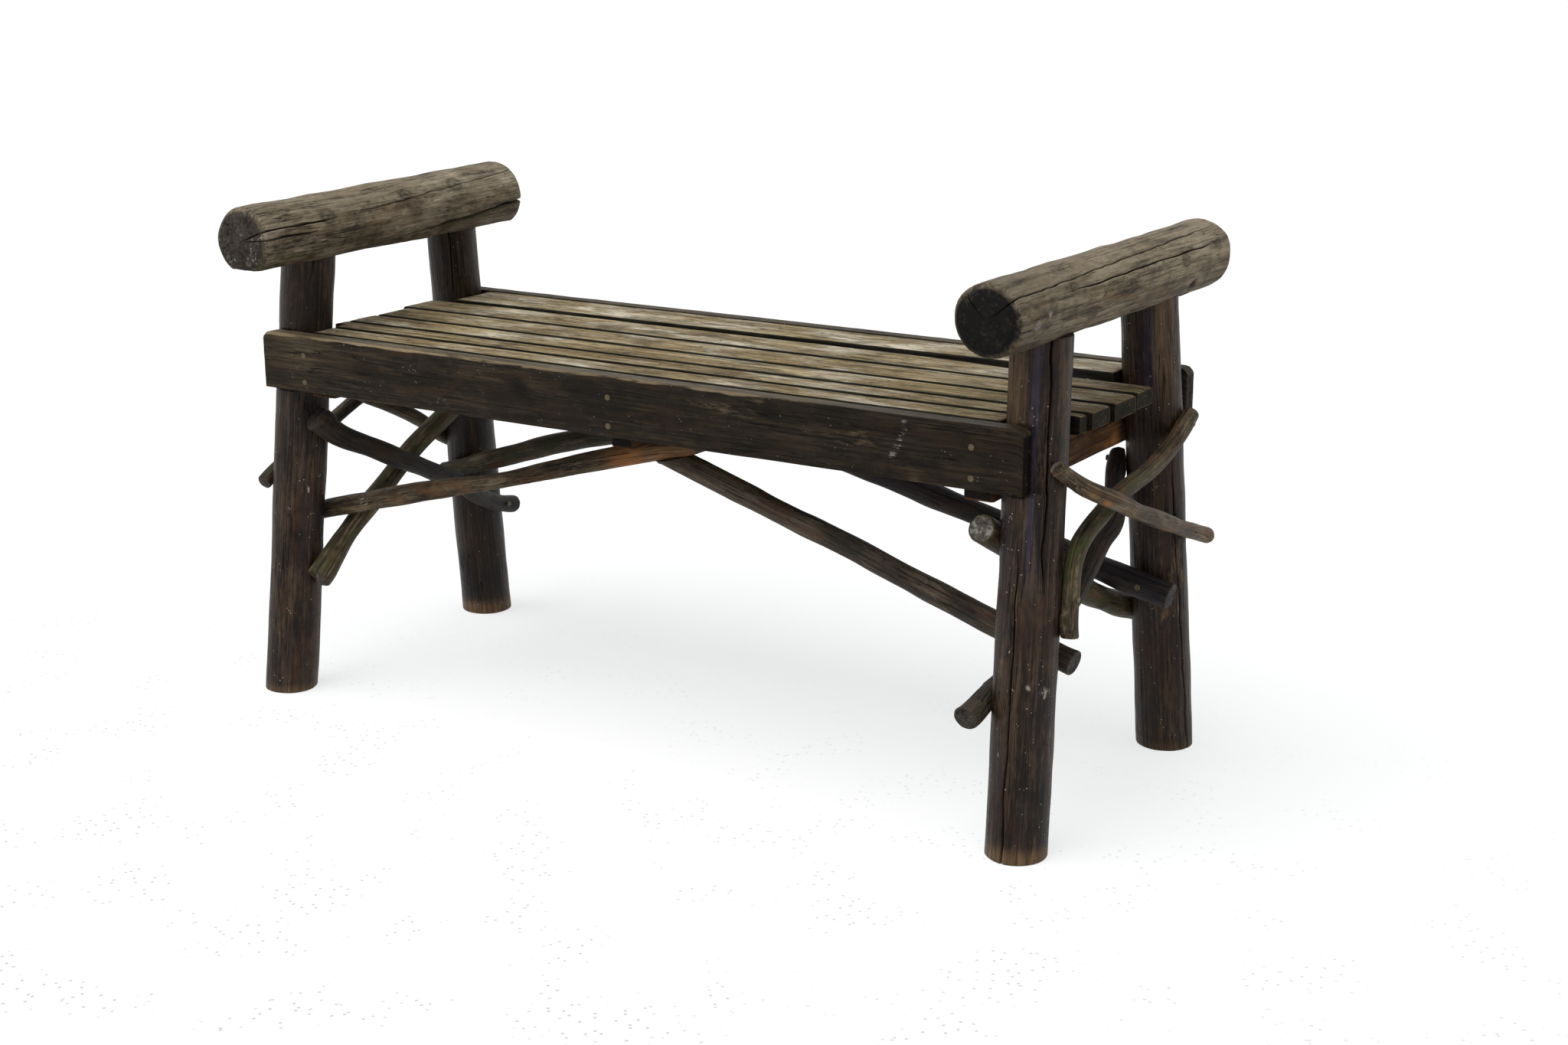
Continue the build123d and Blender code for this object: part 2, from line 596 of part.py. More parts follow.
# The origin is the middle of the whole bench's box, on the floor.
os.makedirs("parts", exist_ok=True)
box = Compound([solid for piece in solids.values() for solid in piece.solids()]).bounding_box()
to_origin = Pos(-box.center().X, -box.center().Y, 0)
for name, piece in solids.items():
    export_step(Compound([to_origin * solid for solid in piece.solids()]), f"parts/{name}.step")
print("moved by", to_origin.position, "size", box.size)
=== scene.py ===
import bpy
import math
import numpy as np
from collections import namedtuple
from types import SimpleNamespace
from mathutils import Matrix, Vector
from mathutils.bvhtree import BVHTree


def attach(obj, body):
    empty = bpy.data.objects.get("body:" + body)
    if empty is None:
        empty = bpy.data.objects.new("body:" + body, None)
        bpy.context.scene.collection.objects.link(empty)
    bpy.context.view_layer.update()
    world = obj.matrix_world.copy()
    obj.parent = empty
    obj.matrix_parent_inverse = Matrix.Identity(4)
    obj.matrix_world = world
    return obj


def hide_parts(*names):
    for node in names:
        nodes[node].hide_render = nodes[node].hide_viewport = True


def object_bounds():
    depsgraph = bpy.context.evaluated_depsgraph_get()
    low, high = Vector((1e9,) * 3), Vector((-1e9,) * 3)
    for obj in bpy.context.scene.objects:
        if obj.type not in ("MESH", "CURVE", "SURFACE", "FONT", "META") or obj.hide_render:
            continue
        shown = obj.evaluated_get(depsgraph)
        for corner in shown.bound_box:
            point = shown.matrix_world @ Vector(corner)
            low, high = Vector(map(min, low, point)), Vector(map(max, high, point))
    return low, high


# Rustic log bench. Each round log, bent branch and sawn board is skinned over its own piece of the
# frame: rays find the frame's wall all round, and the skin adds the grain, cracks, knots and worn
# arrises. Metres throughout, unless a comment says otherwise.

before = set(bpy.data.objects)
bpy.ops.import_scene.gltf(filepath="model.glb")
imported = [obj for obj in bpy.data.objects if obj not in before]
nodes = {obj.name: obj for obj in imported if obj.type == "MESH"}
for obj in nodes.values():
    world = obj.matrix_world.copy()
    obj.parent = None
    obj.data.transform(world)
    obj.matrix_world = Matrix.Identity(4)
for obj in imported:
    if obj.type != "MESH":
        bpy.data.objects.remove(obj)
cad_box = [list(corner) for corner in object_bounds()]

MM = 0.001
UP = Vector((0, 0, 1))
BOX_MARGIN = 2e-5  # how far the skins stay inside the CAD box


# ---- Seeded noise ----
class Noise:
    """Smooth gradient noise over points in space, the same on every run."""

    def __init__(self, seed):
        random = np.random.default_rng(seed)
        self.order = np.tile(random.permutation(256), 3)
        slopes = random.normal(size=(256, 3))
        self.slopes = slopes / np.linalg.norm(slopes, axis=1)[:, None]

    def __call__(self, points):
        cell = np.floor(points).astype(int)
        inside = points - cell
        cell &= 255
        ease = inside ** 3 * (inside * (inside * 6 - 15) + 10)
        total = np.zeros(points.shape[:-1])
        for corner in np.ndindex(2, 2, 2):
            at = cell + corner
            index = self.order[self.order[self.order[at[..., 0]] + at[..., 1]] + at[..., 2]]
            share = np.where(corner, ease, 1 - ease).prod(axis=-1)
            total += share * (self.slopes[index] * (inside - corner)).sum(axis=-1)
        return total * 1.6

    def layered(self, points, layers=3):
        """Noise with finer, weaker noise added, about -1 to 1."""
        total = np.zeros(points.shape[:-1])
        for layer in range(layers):
            total += self(points * 2 ** layer + 31.7 * layer) / 2 ** layer
        return total


def smooth_step(value, low, high):
    share = np.clip((value - low) / (high - low), 0, 1)
    return share * share * (3 - 2 * share)


def plateau(value, start, full, fading, end):
    """Rises from 0 to 1 between two limits, and falls back to 0 between two others."""
    return smooth_step(value, start, full) * (1 - smooth_step(value, fading, end))


def smoothed(values, reach):
    """A running mean along the first axis that keeps both ends."""
    padded = np.concatenate([np.repeat(values[:1], reach, axis=0), values,
                             np.repeat(values[-1:], reach, axis=0)])
    total = sum(padded[k:k + len(values)] for k in range(2 * reach + 1))
    result = total / (2 * reach + 1)
    result[0], result[-1] = values[0], values[-1]
    return result


# ---- Stains: functions from points to how strong a mark is there ----
X, Y, Z = 0, 1, 2


def band(value, low, high, soft):
    """1 between two limits and 0 beyond them, with soft edges."""
    return plateau(value, low - soft, low + soft, high - soft, high + soft)


def rise(axis, start, end, strength):
    """Nothing before one place on an axis, and all of its strength past the other."""
    return lambda points: strength * smooth_step(points[:, axis], start, end)


def spots(*places):
    """Strongest at each place: x, y, z, its reach and strength, in millimetres."""
    def painted(points):
        total = np.zeros(len(points))
        for x, y, z, reach, strength in places:
            gap = np.linalg.norm(points / MM - (x, y, z), axis=1) / reach
            total = np.maximum(total, strength * np.exp(-gap ** 2))
        return total
    return painted


# ---- Reading shapes from the frame ----
def square_to(along):
    """Two directions square to one direction and to each other."""
    side = along.cross(Vector((0.1, -0.05, 1))).normalized()
    return side, side.cross(along).normalized()


def fit_circle(places):
    """The middle and the radius of the circle that lies closest to points on a plane."""
    across = np.array(places)
    table = np.column_stack([2 * across, np.ones(len(across))])
    answer = np.linalg.lstsq(table, (across ** 2).sum(axis=1), rcond=None)[0]
    return answer[:2], math.sqrt(max(answer[2] + answer[0] ** 2 + answer[1] ** 2, 1e-8))


FULL_TURN = np.linspace(0, 2 * math.pi, 20, endpoint=False)
CENTRING_TURNS = 4  # how often a guessed centre is moved to the middle of its section
LEAST_WALLS = 8  # how many walls a round section needs
HOLE_STEP = 1 * MM  # a wall that lies so much deeper than those around it is a nail hole


class Solid:
    """A CAD node, read with rays from outside."""

    def __init__(self, name):
        mesh = nodes[name].data
        self.corners = np.array([vertex.co for vertex in mesh.vertices])
        faces = [tuple(face.vertices) for face in mesh.polygons]
        self.tree = BVHTree.FromPolygons([vertex.co for vertex in mesh.vertices], faces)
        self.low = Vector(self.corners.min(axis=0))
        self.high = Vector(self.corners.max(axis=0))

    def wall(self, centre, out, reach):
        """How far from a point the outer wall lies in a direction, or None beyond the solid."""
        point = self.tree.ray_cast(centre + out * reach, -out, reach)[0]
        return None if point is None else (point - centre).dot(out)

    def circle(self, centre, along, reach, angles=FULL_TURN):
        """The centre and radius of the round section square to a direction."""
        side, up = square_to(along)
        found = []
        for angle in angles:
            out = side * math.cos(angle) + up * math.sin(angle)
            distance = self.wall(centre, out, reach)
            if distance is not None:
                found.append((distance * math.cos(angle), distance * math.sin(angle)))
        if len(found) < LEAST_WALLS:
            return None
        (across, above), radius = fit_circle(found)
        return centre + side * across + up * above, radius

    def middle(self, centre, along, reach):
        """The middle of the section square to a direction, whatever its shape, or None."""
        side, up = square_to(along)
        found = []
        for angle in np.linspace(0, 2 * math.pi, 12, endpoint=False):
            out = side * math.cos(angle) + up * math.sin(angle)
            across = along.cross(out)
            for offset in np.linspace(-0.8, 0.8, 9) * reach:
                start = centre + across * offset
                point = self.tree.ray_cast(start + out * reach, -out, 2 * reach)[0]
                if point is not None:
                    found.append(point)
        return sum(found, Vector((0, 0, 0))) / len(found) if len(found) >= 3 else None


def walls(solid, centres, outs, reach):
    """The wall's distance for every direction of every section, with nail holes filled in."""
    rings, around = outs.shape[:2]
    grid = np.full((rings, around), np.nan)
    for k in range(rings):
        centre = Vector(centres[k])
        for j in range(around):
            distance = solid.wall(centre, Vector(outs[k, j]), reach)
            if distance is not None:
                grid[k, j] = distance
    # A section that missed the solid takes its distances from the nearest one that met it.
    met = np.flatnonzero(np.isfinite(grid).mean(axis=1) > 0.5)
    for k in range(rings):
        if k not in met:
            grid[k] = grid[met[np.argmin(abs(met - k))]]
        gaps = ~np.isfinite(grid[k])
        grid[k, gaps] = np.nanmedian(grid[k])
    padded = np.pad(np.pad(grid, ((2, 2), (0, 0)), mode="edge"), ((0, 0), (2, 2)), mode="wrap")
    near = [padded[a:a + rings, b:b + around] for a in range(5) for b in range(5)]
    usual = np.median(near, axis=0)
    return np.where(usual - grid > HOLE_STEP, usual, grid)


def log_axis(solid, starts, along, reach, angles=FULL_TURN):
    """Points on a straight log's axis, each found from a start near it."""
    found = []
    for centre in starts:
        for turn in range(CENTRING_TURNS):
            centre = solid.circle(centre, along, reach, angles)[0]
        found.append(np.array(centre))
    return found


SCARF_REACH = 0.15  # how far from the bench's middle the long branches are scarfed
BRANCH_REACH = 0.03  # rays towards a branch start this far from its centre
BRANCH_STEP = 0.005
MOST_SECTIONS = 400  # no branch needs as many


def trace_branch(solid):
    """The centre line of a bent round bar, followed from one end to the other."""
    corners = solid.corners
    first = corners[np.argmax(np.linalg.norm(corners - corners.mean(axis=0), axis=1))]
    last = corners[np.argmax(np.linalg.norm(corners - first, axis=1))]
    # Start near the middle of the bar, and walk both ways.
    across = Vector(last - first)
    share = np.abs((corners - first) @ np.array(across) / across.length_squared - 0.5)
    start = Vector(corners[np.argsort(share)[:40]].mean(axis=0))
    halves = []
    for direction in (across.normalized(), -across.normalized()):
        along, centre = direction.copy(), start.copy()
        for turn in range(CENTRING_TURNS):
            section = solid.circle(centre, along, BRANCH_REACH)
            centre = section[0] if section else centre
        path = []
        while len(path) < MOST_SECTIONS:
            section = solid.circle(centre, along, BRANCH_REACH)
            if section is None or section[1] > BRANCH_REACH * 0.8:
                break
            if path:
                along = (along + (section[0] - path[-1]).normalized() * 0.5).normalized()
            centre = section[0]
            path.append(centre.copy())
            centre = centre + along * BRANCH_STEP
        # A branch is sawn square past its legs. Under the seat's middle it is cut aslant, and the
        # last sections are found by their middle.
        along = (path[-3] - path[-10]).normalized()
        path = path[:-2]
        tip = solid.tree.ray_cast(path[-1] + along * 0.05, -along, 0.08)[0]
        if abs(path[-1].x) > SCARF_REACH and tip is not None:
            path += [path[-1].lerp(tip, share) for share in (0.25, 0.5, 0.75, 1.0)]
            halves.append(path)
            continue
        centre = path[-1] + along * BRANCH_STEP / 2
        while len(path) < MOST_SECTIONS:
            section_middle = solid.middle(centre, along, BRANCH_REACH * 0.7)
            if section_middle is None:
                break
            path.append(section_middle)
            centre = centre + along * BRANCH_STEP / 4
        halves.append(path)
    return np.array(halves[1][::-1] + halves[0][1:])


# ---- Building meshes ----
def tube_faces(rings, around):
    """Faces between neighbouring rings of a closed tube and over its two end points."""
    index = np.arange(rings * around).reshape(rings, around)
    after = np.roll(index, -1, axis=1)
    quads = np.stack([index[:-1], after[:-1], after[1:], index[1:]], axis=-1).reshape(-1, 4)
    tip = np.full(around, rings * around)
    triangles = np.concatenate([np.column_stack([tip, after[0], index[0]]),
                                np.column_stack([tip + 1, index[-1], after[-1]])])
    return quads.tolist() + triangles.tolist()


def make_piece(name, node, slot, grid, tips, grain, seed, fields, stains):
    """Closes a grid of rings into a piece, in its CAD node's place and with its finish.

    fields are the attributes that the wood reads at the grid's points. stains are marks on it:
    for an attribute, a number or a function of the points.
    """
    rings, around = grid.shape[:2]
    points = np.concatenate([grid.reshape(-1, 3), tips])
    tip_grain = [[0, 0, 0], [0, 0, grain[-1, 0, 2]]]
    values = {"grain": np.concatenate([grain.reshape(-1, 3), tip_grain]) + seed * 0.37}
    for key, field in fields.items():
        values[key] = np.append(np.broadcast_to(field, (rings, around)), [key == "face"] * 2)
    for key, stain in stains.items():
        painted = (stain(points) if callable(stain) else stain) * np.ones(len(points))
        if key == "dry":
            painted = painted * values[key]
        elif key == "shade":
            painted = np.maximum(painted, values.get(key, 0))
        values[key] = painted

    mesh = bpy.data.meshes.new(name)
    points = np.clip(points, np.array(cad_box[0]) + BOX_MARGIN, np.array(cad_box[1]) - BOX_MARGIN)
    mesh.from_pydata(points.tolist(), [], tube_faces(rings, around))
    mesh.polygons.foreach_set("use_smooth", np.ones(len(mesh.polygons), bool))
    for key, value in values.items():
        kind, part = ("FLOAT_VECTOR", "vector") if value.ndim == 2 else ("FLOAT", "value")
        layer = mesh.attributes.new(key, kind, "POINT")
        layer.data.foreach_set(part, value.astype(np.float32).ravel())
    mesh.update(calc_edges=True)
    mesh.validate()
    mesh.materials.append(materials[slot])
    piece = bpy.data.objects.new(name, mesh)
    bpy.context.scene.collection.objects.link(piece)
    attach(piece, "root")
    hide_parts(node)


# ---- Cracks and knots ----
# A drying crack along a log: its angle in degrees from the log's reference direction, its run in
# metres along the log, its width and depth in metres at its middle, and how many degrees it turns
# over its run and strays.
Split = namedtuple("Split", "angle low high width depth lean wander", defaults=(0.0, 3.0))
# A knot: its angle in degrees, its place along, its radius, its height and how dark it is. On a
# board the angle is the way its face looks (90 is up), and across is its place across.
Knot = namedtuple("Knot", "angle place radius height dark across", defaults=(0.0,))


def split_centre(split, along, noise):
    """The angle of a crack's middle at places along the log."""
    path = np.column_stack([along / 0.05, np.full(len(along), split.angle), along * 0])
    share = np.clip((along - split.low) / (split.high - split.low), 0, 1)
    drift = noise.layered(path, 3) * split.wander + (share - 0.5) * split.lean
    return np.radians(split.angle + drift)


def split_opening(split, along):
    """How open a crack is: 0 beyond its ends and 1 in its middle."""
    ends = 0.18 * (split.high - split.low)
    return plateau(along, split.low, split.low + ends, split.high - ends, split.high)


SPLIT_COLUMNS = np.array([-1.0, -0.6, -0.25, 0.0, 0.25, 0.6, 1.0])


def split_columns(around, splits, along, radius, noise):
    """Angles of every ring's points, gathered at each split, and each point's depth in one."""
    if not splits:
        even = np.linspace(0, 2 * math.pi, around, endpoint=False)
        return np.tile(even, (len(along), 1)), np.zeros((len(along), around))
    splits = sorted(splits, key=lambda split: split.angle)
    centres = np.array([split_centre(split, along, noise) for split in splits])
    openings = np.array([split_opening(split, along) for split in splits])
    half = np.array([split.width / 2 for split in splits])[:, None] * (0.25 + 0.75 * openings)
    half = half / radius
    plain = around - len(splits) * len(SPLIT_COLUMNS)
    turns = np.diff([split.angle for split in splits] + [splits[0].angle + 360])
    counts = np.round(plain * turns / 360).astype(int)
    counts[-1] += plain - counts.sum()
    angles, depths = [], []
    for k, split in enumerate(splits):
        for offset in SPLIT_COLUMNS:
            angles.append(centres[k] + offset * half[k])
            depths.append(split.depth * openings[k] * (1 - abs(offset)) ** 0.7)
        following = (k + 1) % len(splits)
        full_turn = 2 * math.pi if following <= k else 0
        start = centres[k] + half[k]
        end = centres[following] - half[following] + full_turn
        for number in range(counts[k]):
            angles.append(start + (end - start) * (number + 1) / (counts[k] + 1))
            depths.append(np.zeros(len(along)))
    return np.array(angles).T, np.array(depths).T


# ---- Round pieces ----
class Line:
    """A centre line to sweep a section along, read at any distance from its start."""

    def __init__(self, path, reference, softness):
        gaps = np.linalg.norm(np.diff(path, axis=0), axis=1)
        lengths = np.concatenate([[0], np.cumsum(gaps)])
        self.length = lengths[-1]
        self.even = np.linspace(0, self.length, 260)
        even_path = np.column_stack([np.interp(self.even, lengths, path[:, k]) for k in range(3)])
        self.path = smoothed(even_path, softness)
        self.ahead = np.gradient(smoothed(self.path, softness), axis=0)
        self.ahead /= np.linalg.norm(self.ahead, axis=1)[:, None]
        self.first = np.zeros_like(self.path)
        held = np.array(reference, float)
        for k, direction in enumerate(self.ahead):
            held = held - direction * held.dot(direction)
            held /= np.linalg.norm(held)
            self.first[k] = held

    def at(self, places, values):
        return np.column_stack([np.interp(places, self.even, values[:, k]) for k in range(3)])

    def frame(self, places):
        """The centres, the way ahead and the two directions across at places along the line."""
        ahead = self.at(places, self.ahead)
        first = self.at(places, self.first)
        return self.at(places, self.path), ahead, first, np.cross(ahead, first)


class LevelLine(Line):
    """A straight leaning centre line whose sections stay level, as a leg's foot and top are."""

    def __init__(self, low, high):
        super().__init__(np.array([low, high]), (0, -1, 0), 0)

    def frame(self, places):
        level = np.ones((len(places), 1))
        return (self.at(places, self.path), level * (0, 0, 1), level * (0, -1, 0),
                level * (1, 0, 0))


FACE_SHARES = (0.03, 0.2, 0.4, 0.6, 0.78, 0.92)  # rings on an end face, as shares of its radius


def end_stations(length, step, rounding):
    """Places along a bar, how far its rim is rounded off at each and its share of the radius."""
    turn = np.linspace(0, math.pi / 2, 6)[:-1]
    face = np.zeros(len(FACE_SHARES))
    places = np.append(face, rounding * (1 - np.cos(turn)))
    insets = np.append(face + rounding, rounding * (1 - np.sin(turn)))
    shares = np.append(FACE_SHARES, np.ones(len(turn)))
    count = max(int((length - 2 * rounding) / step), 4)
    middle = np.linspace(rounding, length - rounding, count)
    return (np.concatenate([places, middle, length - places[::-1]]),
            np.concatenate([insets, np.zeros(count), insets[::-1]]),
            np.concatenate([shares, np.ones(count), shares[::-1]]))


# How each kind of round piece is skinned. In millimetres: ripple, fibre and lump are its waves,
# fibres and uneven girth, rim the rounding of its ends, sink how far its surface lies inside the
# frame's on average, and sawn how far the look of its sawn ends reaches along it. In metres: reach
# is how far out the rays start, and step lies between two rings of so many points around.
LOG_BARK = SimpleNamespace(suffix="_log", slot="dark_log", ripple=0.45, fibre=0.12, lump=0.9,
                           rim=2.5, sink=0.0, sawn=0.0, reach=0.075, step=0.0026, around=150)
ARM_BARK = SimpleNamespace(suffix="_log", slot="weathered_log", ripple=0.7, fibre=0.22, lump=1.3,
                           rim=1.2, sink=0.0, sawn=3.0, reach=0.075, step=0.0024, around=190)
BRANCH_BARK = SimpleNamespace(suffix="_branch", slot="branch", ripple=0.5, fibre=0.18, lump=1.3,
                              rim=1.5, sink=0.4, sawn=0.0, reach=0.034, step=0.0026, around=72)
# The size of those waves, fibres and lumps, across the bar twice and along it.
RIPPLE_SIZE, FIBRE_SIZE, LUMP_SIZE = (0.022, 0.022, 0.13), (0.0035, 0.0035, 0.05), (0.05, 0.05, 0.07)
END_ROUGHNESS = 0.35 * MM
END_INSET = 0.4 * MM  # the frame's walls are read no closer to its ends than this
MOST_RELIEF = 3 * MM


def round_piece(node, solid, line, bark, splits, knots, seed, stains, correct=None):
    """A round bar over a CAD node, with relief along its grain, splits, knots and rounded ends.

    correct(distances, centres, outs) changes the measured walls before they are skinned.
    """
    noise = Noise(seed)
    places, insets, shares = end_stations(line.length, bark.step, bark.rim * MM)
    is_face = shares[:, None] < 1
    inner = np.clip(places, END_INSET, line.length - END_INSET)
    centres, ahead, first, second = line.frame(inner)
    angles, depths = split_columns(bark.around, splits, places, bark.reach * 0.7, noise)
    cosine, sine = np.cos(angles), np.sin(angles)
    outs = first[:, None] * cosine[..., None] + second[:, None] * sine[..., None]
    girth = walls(solid, centres, outs, bark.reach)
    if correct:
        girth = correct(girth, centres, outs)

    centres = line.frame(places)[0]
    along = np.repeat(places[:, None], bark.around, 1)
    local = np.stack([cosine * girth, sine * girth, along], -1)
    relief = noise.layered(local / RIPPLE_SIZE, 2) * bark.ripple
    relief += noise.layered(local / FIBRE_SIZE + 9, 2) * bark.fibre
    relief += noise.layered(local / LUMP_SIZE + 5, 2) * bark.lump
    calm = 1.0
    if bark.sink:
        calm = smooth_step(np.abs(centres[:, X]), 0.5 * SCARF_REACH, SCARF_REACH)[:, None]
    relief = (relief - bark.sink) * MM * calm
    knotted = np.zeros_like(relief)
    for knot in knots:
        across = (angles - math.radians(knot.angle) + math.pi) % (2 * math.pi) - math.pi
        gap = np.hypot(across * girth, (along - knot.place) * 0.75) / knot.radius
        relief += knot.height * np.exp(-gap ** 2) * (1 + 0.3 * np.sin(gap * 7))
        ringed = 0.75 + 0.25 * np.cos(gap * 9)
        knotted = np.maximum(knotted, knot.dark * np.exp(-(gap * 0.9) ** 4) * ringed)
    swell = np.maximum(girth - insets[:, None], girth * 0.3)
    swell = (swell + np.clip(relief, -MOST_RELIEF, MOST_RELIEF) - depths) * shares[:, None]
    points = centres[:, None] + outs * swell[..., None]
    # The sawn ends are slightly rough.
    inwards = np.where(places < line.length / 2, 1.0, -1.0)
    rough = np.abs(noise.layered(points / 0.008 + 3, 2)) * END_ROUGHNESS
    dish = inwards[:, None] * (rough + depths * 0.6) * is_face
    points = points + ahead[:, None] * dish[..., None]

    sawn_face = is_face * 1.0
    if bark.sawn:
        end_gap = np.minimum(places, line.length - places)[:, None]
        end_gap = end_gap + noise.layered(points / 0.012 + 17, 2) * 1.5 * MM
        sawn_face = 1 - smooth_step(end_gap, 0.6 * bark.sawn * MM, 1.4 * bark.sawn * MM)
    deepest = max([split.depth for split in splits], default=1.0)
    fields = {
        "crack": smooth_step(depths / deepest, 0.03, 0.4),
        "face": sawn_face,
        "knot": knotted,
        "heart": swell / np.median(girth),
        "spin": angles,
        "relief_wear_and_light": np.clip(relief / ((bark.ripple + bark.fibre) * MM) + 0.5, -1, 1),
        # Upward faces are paler: dried out, and painted top light.
        "dry": smooth_step(outs[..., 2], 0.1, 0.9),
    }
    grain = np.stack([swell * cosine, swell * sine, along], -1)
    make_piece(node + bark.suffix, node, bark.slot, points, centres[[0, -1]], grain, seed, fields,
               stains)


# ---- Sawn boards ----
SIDE_POINTS = 26  # across a board's wide face
EDGE_POINTS = 9  # across its narrow edge
ARRIS_POINTS = 5  # round each of its long corners
BOARD_STEP = 5 * MM
BOARD_RIM = 1 * MM
BOARD_REACH = 0.2  # rays towards a board start this far from its axis
BOARD_INSET = 0.3 * MM  # its walls are read no closer to its ends than this
BOARD_JUMP = 2 * MM  # where its section steps by more, its rings get closer
CLOSEST_RINGS = 0.4 * MM
PROBES = (-6 * MM, 0.0, 6 * MM)  # where its top and bottom are read, so that one misses a hole
BOARD_HOLE = 5 * MM  # a narrow step deeper than this is a nail hole
BOARD_RELIEF = 2 * MM  # how far its grain lies inside the frame's surface at most
# Painted shade beside a board's narrow faces, which line narrow gaps.
GAP_SHADE_BAND = (2.2 * MM, 4.4 * MM)  # where the dark beside a narrow face starts and ends to fade
BOARD_RIPPLE, BOARD_FIBRE = 0.25, 0.12  # its relief in millimetres
BOARD_RIPPLE_SIZE, BOARD_FIBRE_SIZE = (0.016, 0.016, 0.16), (0.0032, 0.0032, 0.06)


def board_profile():
    """A rounded rectangle: each point's share of the half sizes and its lean on each arris."""
    corners = [(1, -1), (1, 1), (-1, 1), (-1, -1), (1, -1)]
    profile = []
    for number, (u, v) in enumerate(corners[:4]):
        turn = math.radians(90 * number - 45)
        count = EDGE_POINTS if number in (0, 2) else SIDE_POINTS
        for angle in turn + np.radians(np.linspace(-45, 45, ARRIS_POINTS)):
            profile.append((u, v, math.cos(angle), math.sin(angle), number, number, 0.0))
        next_u, next_v = corners[number + 1]
        for share in (np.arange(count) + 1) / (count + 1):
            flat_u, flat_v = u + (next_u - u) * share, v + (next_v - v) * share
            out_u = flat_u if u == next_u else 0
            out_v = flat_v if v == next_v else 0
            profile.append((flat_u, flat_v, out_u, out_v, number, (number + 1) % 4, share))
    return np.array(profile)


# A long corner of a board: its radius in metres, and how much more is worn off between two places.
Arris = namedtuple("Arris", "radius worn start end", defaults=(0.0, -10.0, 10.0))


def arris_radius(arris, places, noise, number):
    """The radius of a board's numbered arris at places along it."""
    path = np.column_stack([places / 0.05, np.full(len(places), number * 3.1), places * 0])
    drift = 1 + 0.5 * noise.layered(path, 3)
    fading = 0.03 + 0.1 * abs(arris.end - arris.start)
    inside = plateau(places, arris.start - 0.02, arris.start, arris.end - fading, arris.end)
    return (arris.radius + arris.worn * inside) * np.clip(drift, 0.35, 1.8)


def board_stations(section, length):
    """Places along a board, closer where its section steps, and the section at each."""
    places = list(np.linspace(0.0, length, int(length / BOARD_STEP) + 2))
    sections = [section(place) for place in places]
    for turn in range(6):
        k = 0
        while k < len(places) - 1:
            jump = np.abs(sections[k + 1] - sections[k]).max()
            if jump > BOARD_JUMP and places[k + 1] - places[k] > CLOSEST_RINGS:
                middle = (places[k] + places[k + 1]) / 2
                places.insert(k + 1, middle)
                sections.insert(k + 1, section(middle))
                k += 1
            k += 1
    return np.array(places), np.array(sections)


